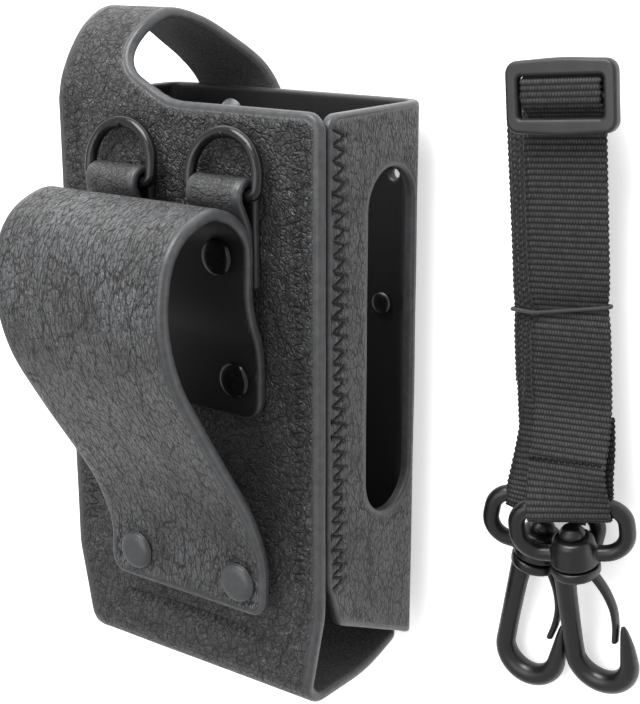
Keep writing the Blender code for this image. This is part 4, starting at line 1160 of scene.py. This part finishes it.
def build_sewn_end():
    """Row of stitches across the front run, where its end is sewn back above the hook's eye."""
    points, faces = [], []
    z = 5.6
    y = float(np.interp(z, (3.0, 10.5, 18.0), (34.9, 38.0, 40.3))) - 0.62
    for k in range(12):
        x = -9.0 + 1.64 * k
        first = len(points)
        for j in range(7):
            bow = math.sin(math.pi * j / 6)
            for q in range(8):
                angle = math.tau * q / 8
                rise = 0.30 * math.sin(angle) - 0.30 * bow
                points.append((x + 1.4 * j / 6 - 0.7, y + rise, z + 0.34 * math.cos(angle) + 0.02 * k))
        faces += tube_faces(7, 8, first)
    node = place_mesh("strap_sewn_end", points, faces, STRAP_SET)
    settle(node, THREAD, "strap", "webbing")


def build_tie():
    """Elastic ring round the folds, following their slanted section just inside its outline."""
    low = 50.8
    loop = [
        (-10.2, HANK_TOP), (10.2, HANK_TOP), (10.4, HANK_TOP + 2.4),
        (-0.6, low), (-21.0, low), (-21.2, low - 2.4),
    ]
    corners = [(x, y, 1.0) for x, y in inset(loop, 0.62)]
    path = arc_path(corners, step=20.0)
    points, faces = sweep(path, 0.5, 12, closed=True)
    points = [(x, y, TIE_Z + across + TIE_SLANT * (x - TIE_X)) for x, across, y in points]
    node = place_mesh("tie_cord", points, faces, STRAP_SET)
    settle(node, ELASTIC, "strap", "elastic", "strap_tie")


def build_slider():
    """Adjuster: a moulded frame with a bar, and the bit of webbing that turns over the bar."""
    matrix = STRAP_SET @ shift(SLIDER_X, 0.0, SLIDER_LOW)
    outline = arc_path(
        [(-14.0, 0.0, 3.0), (0.0, -0.7, 60.0), (14.0, 0.0, 3.0), (14.0, 16.4, 3.0), (0.0, 17.1, 60.0),
         (-14.0, 16.4, 3.0)],
        step=9.0,
    )
    window = arc_path([(-10.8, 3.3, 0.9), (10.8, 3.3, 0.9), (10.8, 12.9, 0.9), (-10.8, 12.9, 0.9)])
    lay = fold_map([(35.2, -5.0), (35.2, 25.0)], -1.0, "yz")
    loops = [[(x, z + 5.0) for x, z in loop] for loop in (outline, window)]
    node = leather_sheet("slider_frame", loops, lay, 3.0, step=1.2, rim=0.95, band=1.3, wave=0.0,
                         matrix=matrix, rounds=5)
    settle(node, SLIDER_PLASTIC, "slider", "black_plastic", "strap_slider")
    bar = shift(0.0, 37.5, 8.1) @ rotation(90.0, "Y")
    rod = [(0.0, -11.6), (0.9, -11.6), (0.9, 11.6), (0.0, 11.6)]
    node = turned("slider_bar", rod, matrix @ bar, 20)
    settle(node, SLIDER_PLASTIC, "slider", "black_plastic", sharp=SHARP_EDGE)
    turn = [
        (38.5, 0.6, 0.0), (38.5, 4.0, 1.0), (35.8, 6.6, 1.2), (35.75, 12.6, 1.7), (39.3, 12.9, 1.7),
        (39.2, 8.2, 0.0),
    ]
    line = [(0.0, y + 0.05, z) for y, z in arc_path(turn, step=10.0)]
    widths = [STRAIGHT] * len(line)
    node, length = ribbon("slider_web", line, widths, matrix, True, half=10.0, thick=0.8, step=0.22)
    settle(node, WEBBING, "slider", "webbing", "slider_turn")


# ---------------------------------------------------------------- hooks


def build_hook(label, bar):
    """One swivel hook: eye with its boss, hook with its flange, sprung gate."""
    matrix = STRAP_SET @ bar_matrix(bar)
    corners = [(-13.4, 0.0, 5.0), (13.4, 0.0, 5.0), (13.4, -13.3, 6.0), (-13.4, -13.3, 6.0)]
    loop = divide(arc_path(corners, step=9.0), 1.5)
    boss = shell_of([(0, -15.7), (5.6, -15.7), (6.1, -15.2), (5.3, -9.6), (4.9, -8.8), (4.2, -8.4), (0, -8.4)])
    eye = fused(f"{label}_eye", [sweep(loop, 2.1, 20, closed=True), boss], matrix, 3)
    settle(eye, PLASTIC, f"{label}_eye", "black_plastic", f"{label}_hook_eye")

    swivel = matrix @ rotation(-bar[1][2], "Z")
    centre, reach = (4.6, -43.7), 7.5
    path = [(-3.2, -17.6), (-3.25, -22.0), (-3.3, -26.0), (-3.2, -31.0), (-3.1, -35.5), (-3.0, -40.0)]
    radii = [2.9, 2.75, 2.6, 2.55, 2.5, 2.5]
    for k in range(1, 25):
        angle = math.radians(180.0 + 7.5 * k)
        path.append((centre[0] + reach * math.cos(angle), centre[1] + reach * math.sin(angle)))
        radii.append(2.5 + 0.6 * math.sin(math.radians(7.5 * k)) - 0.15 * k / 24)
    path += [(12.05, -41.4), (11.95, -38.8), (11.75, -36.2), (11.5, -34.0), (11.3, -32.5)]
    radii += [2.15, 1.85, 1.45, 1.0, 0.5]
    flange = shell_of([
        (0.0, -19.2), (4.6, -19.2), (5.7, -18.9), (6.2, -18.2), (6.2, -16.5), (5.9, -16.1), (2.2, -16.05),
        (1.9, -15.0), (1.9, -8.3), (3.2, -8.3), (3.2, -7.0), (2.2, -5.7), (0.0, -5.2),
    ])
    hook = fused(f"{label}_hook", [sweep(path, radii, 24), flange], swivel, 2)
    settle(hook, PLASTIC, f"{label}_hook", "black_plastic", f"{label}_hook_body")

    gate_path = smooth_path([(5.0, -18.9), (7.4, -22.6), (9.1, -27.4), (9.4, -32.4), (8.8, -37.4)], 6)
    radii = [1.0 - 0.2 * k / (len(gate_path) - 1) for k in range(len(gate_path))]
    points, faces = sweep(gate_path, radii, 16, flat=1.7)
    node = place_mesh(f"{label}_gate_tongue", points, faces, swivel)
    settle(node, PLASTIC, f"{label}_gate", "black_plastic", f"{label}_hook_gate", sharp=SHARP_EDGE)


# ---------------------------------------------------------------- carried solids


def paint_carried():
    """Materials of the solids that are shown as they are."""
    steel = [f"belt_snap_{kind}_{side}" for kind in ("socket", "stud", "post") for side in ("left", "right")]
    steel += ["top_snap_socket", "top_snap_stud", "top_snap_post"]
    for name in steel:
        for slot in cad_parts[name].material_slots:
            slot.material = STEEL


# ---------------------------------------------------------------- stage


def area_light(name, direction, distance, size, power, target):
    lamp = bpy.data.lights.new(name, "AREA")
    lamp.shape = "RECTANGLE"
    lamp.size, lamp.size_y = size
    lamp.energy = power
    node = add_object(name, lamp)
    direction = Vector(direction).normalized()
    node.location = target + direction * distance
    node.rotation_euler = direction.to_track_quat("Z", "Y").to_euler()


def build_stage():
    """Pale floor that glows with painted light, soft studio light and the camera."""
    paint = Paint("stage_floor", (0.93, 0.93, 0.93), 0.9)
    cloud = paint.noise(paint.position(), 0.002, 2.0)
    paint.set("Base Color", paint.colour(cloud, (0.92, 0.92, 0.92), (0.95, 0.95, 0.95)))
    # The floor glows: painted light that washes out the shadows cast on it.
    paint.set("Emission Color", (1.0, 1.0, 1.0, 1.0))
    paint.set("Emission Strength", 0.45)
    mesh = bpy.data.meshes.new("floor")
    side = 1.6
    mesh.from_pydata([(-side, -side, 0), (side, -side, 0), (side, side, 0), (-side, side, 0)], [], [(0, 1, 2, 3)])
    mesh.materials.append(paint.material)
    floor = add_object("floor", mesh)
    floor.location.z = -0.0004

    world = bpy.data.worlds.new("studio")
    world.use_nodes = True
    background = world.node_tree.nodes["Background"]
    background.inputs["Color"].default_value = (1.0, 1.0, 1.0, 1.0)
    background.inputs["Strength"].default_value = 0.75
    bpy.context.scene.world = world

    right, up, forward = VIEW_RIGHT, VIEW_UP, VIEW_FORWARD
    target = Vector((0.0, 0.0, 0.03))
    area_light("key", -forward * 0.7 + up * 0.9 - right * 0.5, 0.75, (0.5, 0.4), 7.0, target)
    area_light("rim", right * 0.9 + up * 0.45 - forward * 0.25, 0.7, (0.25, 0.6), 4.0, target)
    area_light("fill", -forward * 0.9 - right * 0.9 - up * 0.1, 0.8, (0.6, 0.6), 2.5, target)

    camera_data = bpy.data.cameras.new("camera")
    camera_data.sensor_fit = "VERTICAL"
    camera_data.sensor_height = 36.0
    camera_data.lens = CAMERA_LENS
    camera_data.clip_start = 0.01
    camera = add_object("camera", camera_data)
    x, y, z = CAMERA_PLACE
    place = Vector((x + CASE_X, y + CASE_Y, z)) * MM
    columns = Matrix((right, up, -forward)).transposed()
    camera.matrix_world = Matrix.Translation(place) @ columns.to_4x4()
    bpy.context.scene.camera = camera
    bpy.context.scene.view_settings.view_transform = "Standard"


build_stage()
build_back()
build_side_wrap()
build_belt_loop()
build_liner()
build_tabs()
build_fasteners()
build_rings()
build_webbing()
build_tie()
build_slider()
build_hook("upper", UPPER_BAR)
build_hook("lower", LOWER_BAR)
paint_carried()
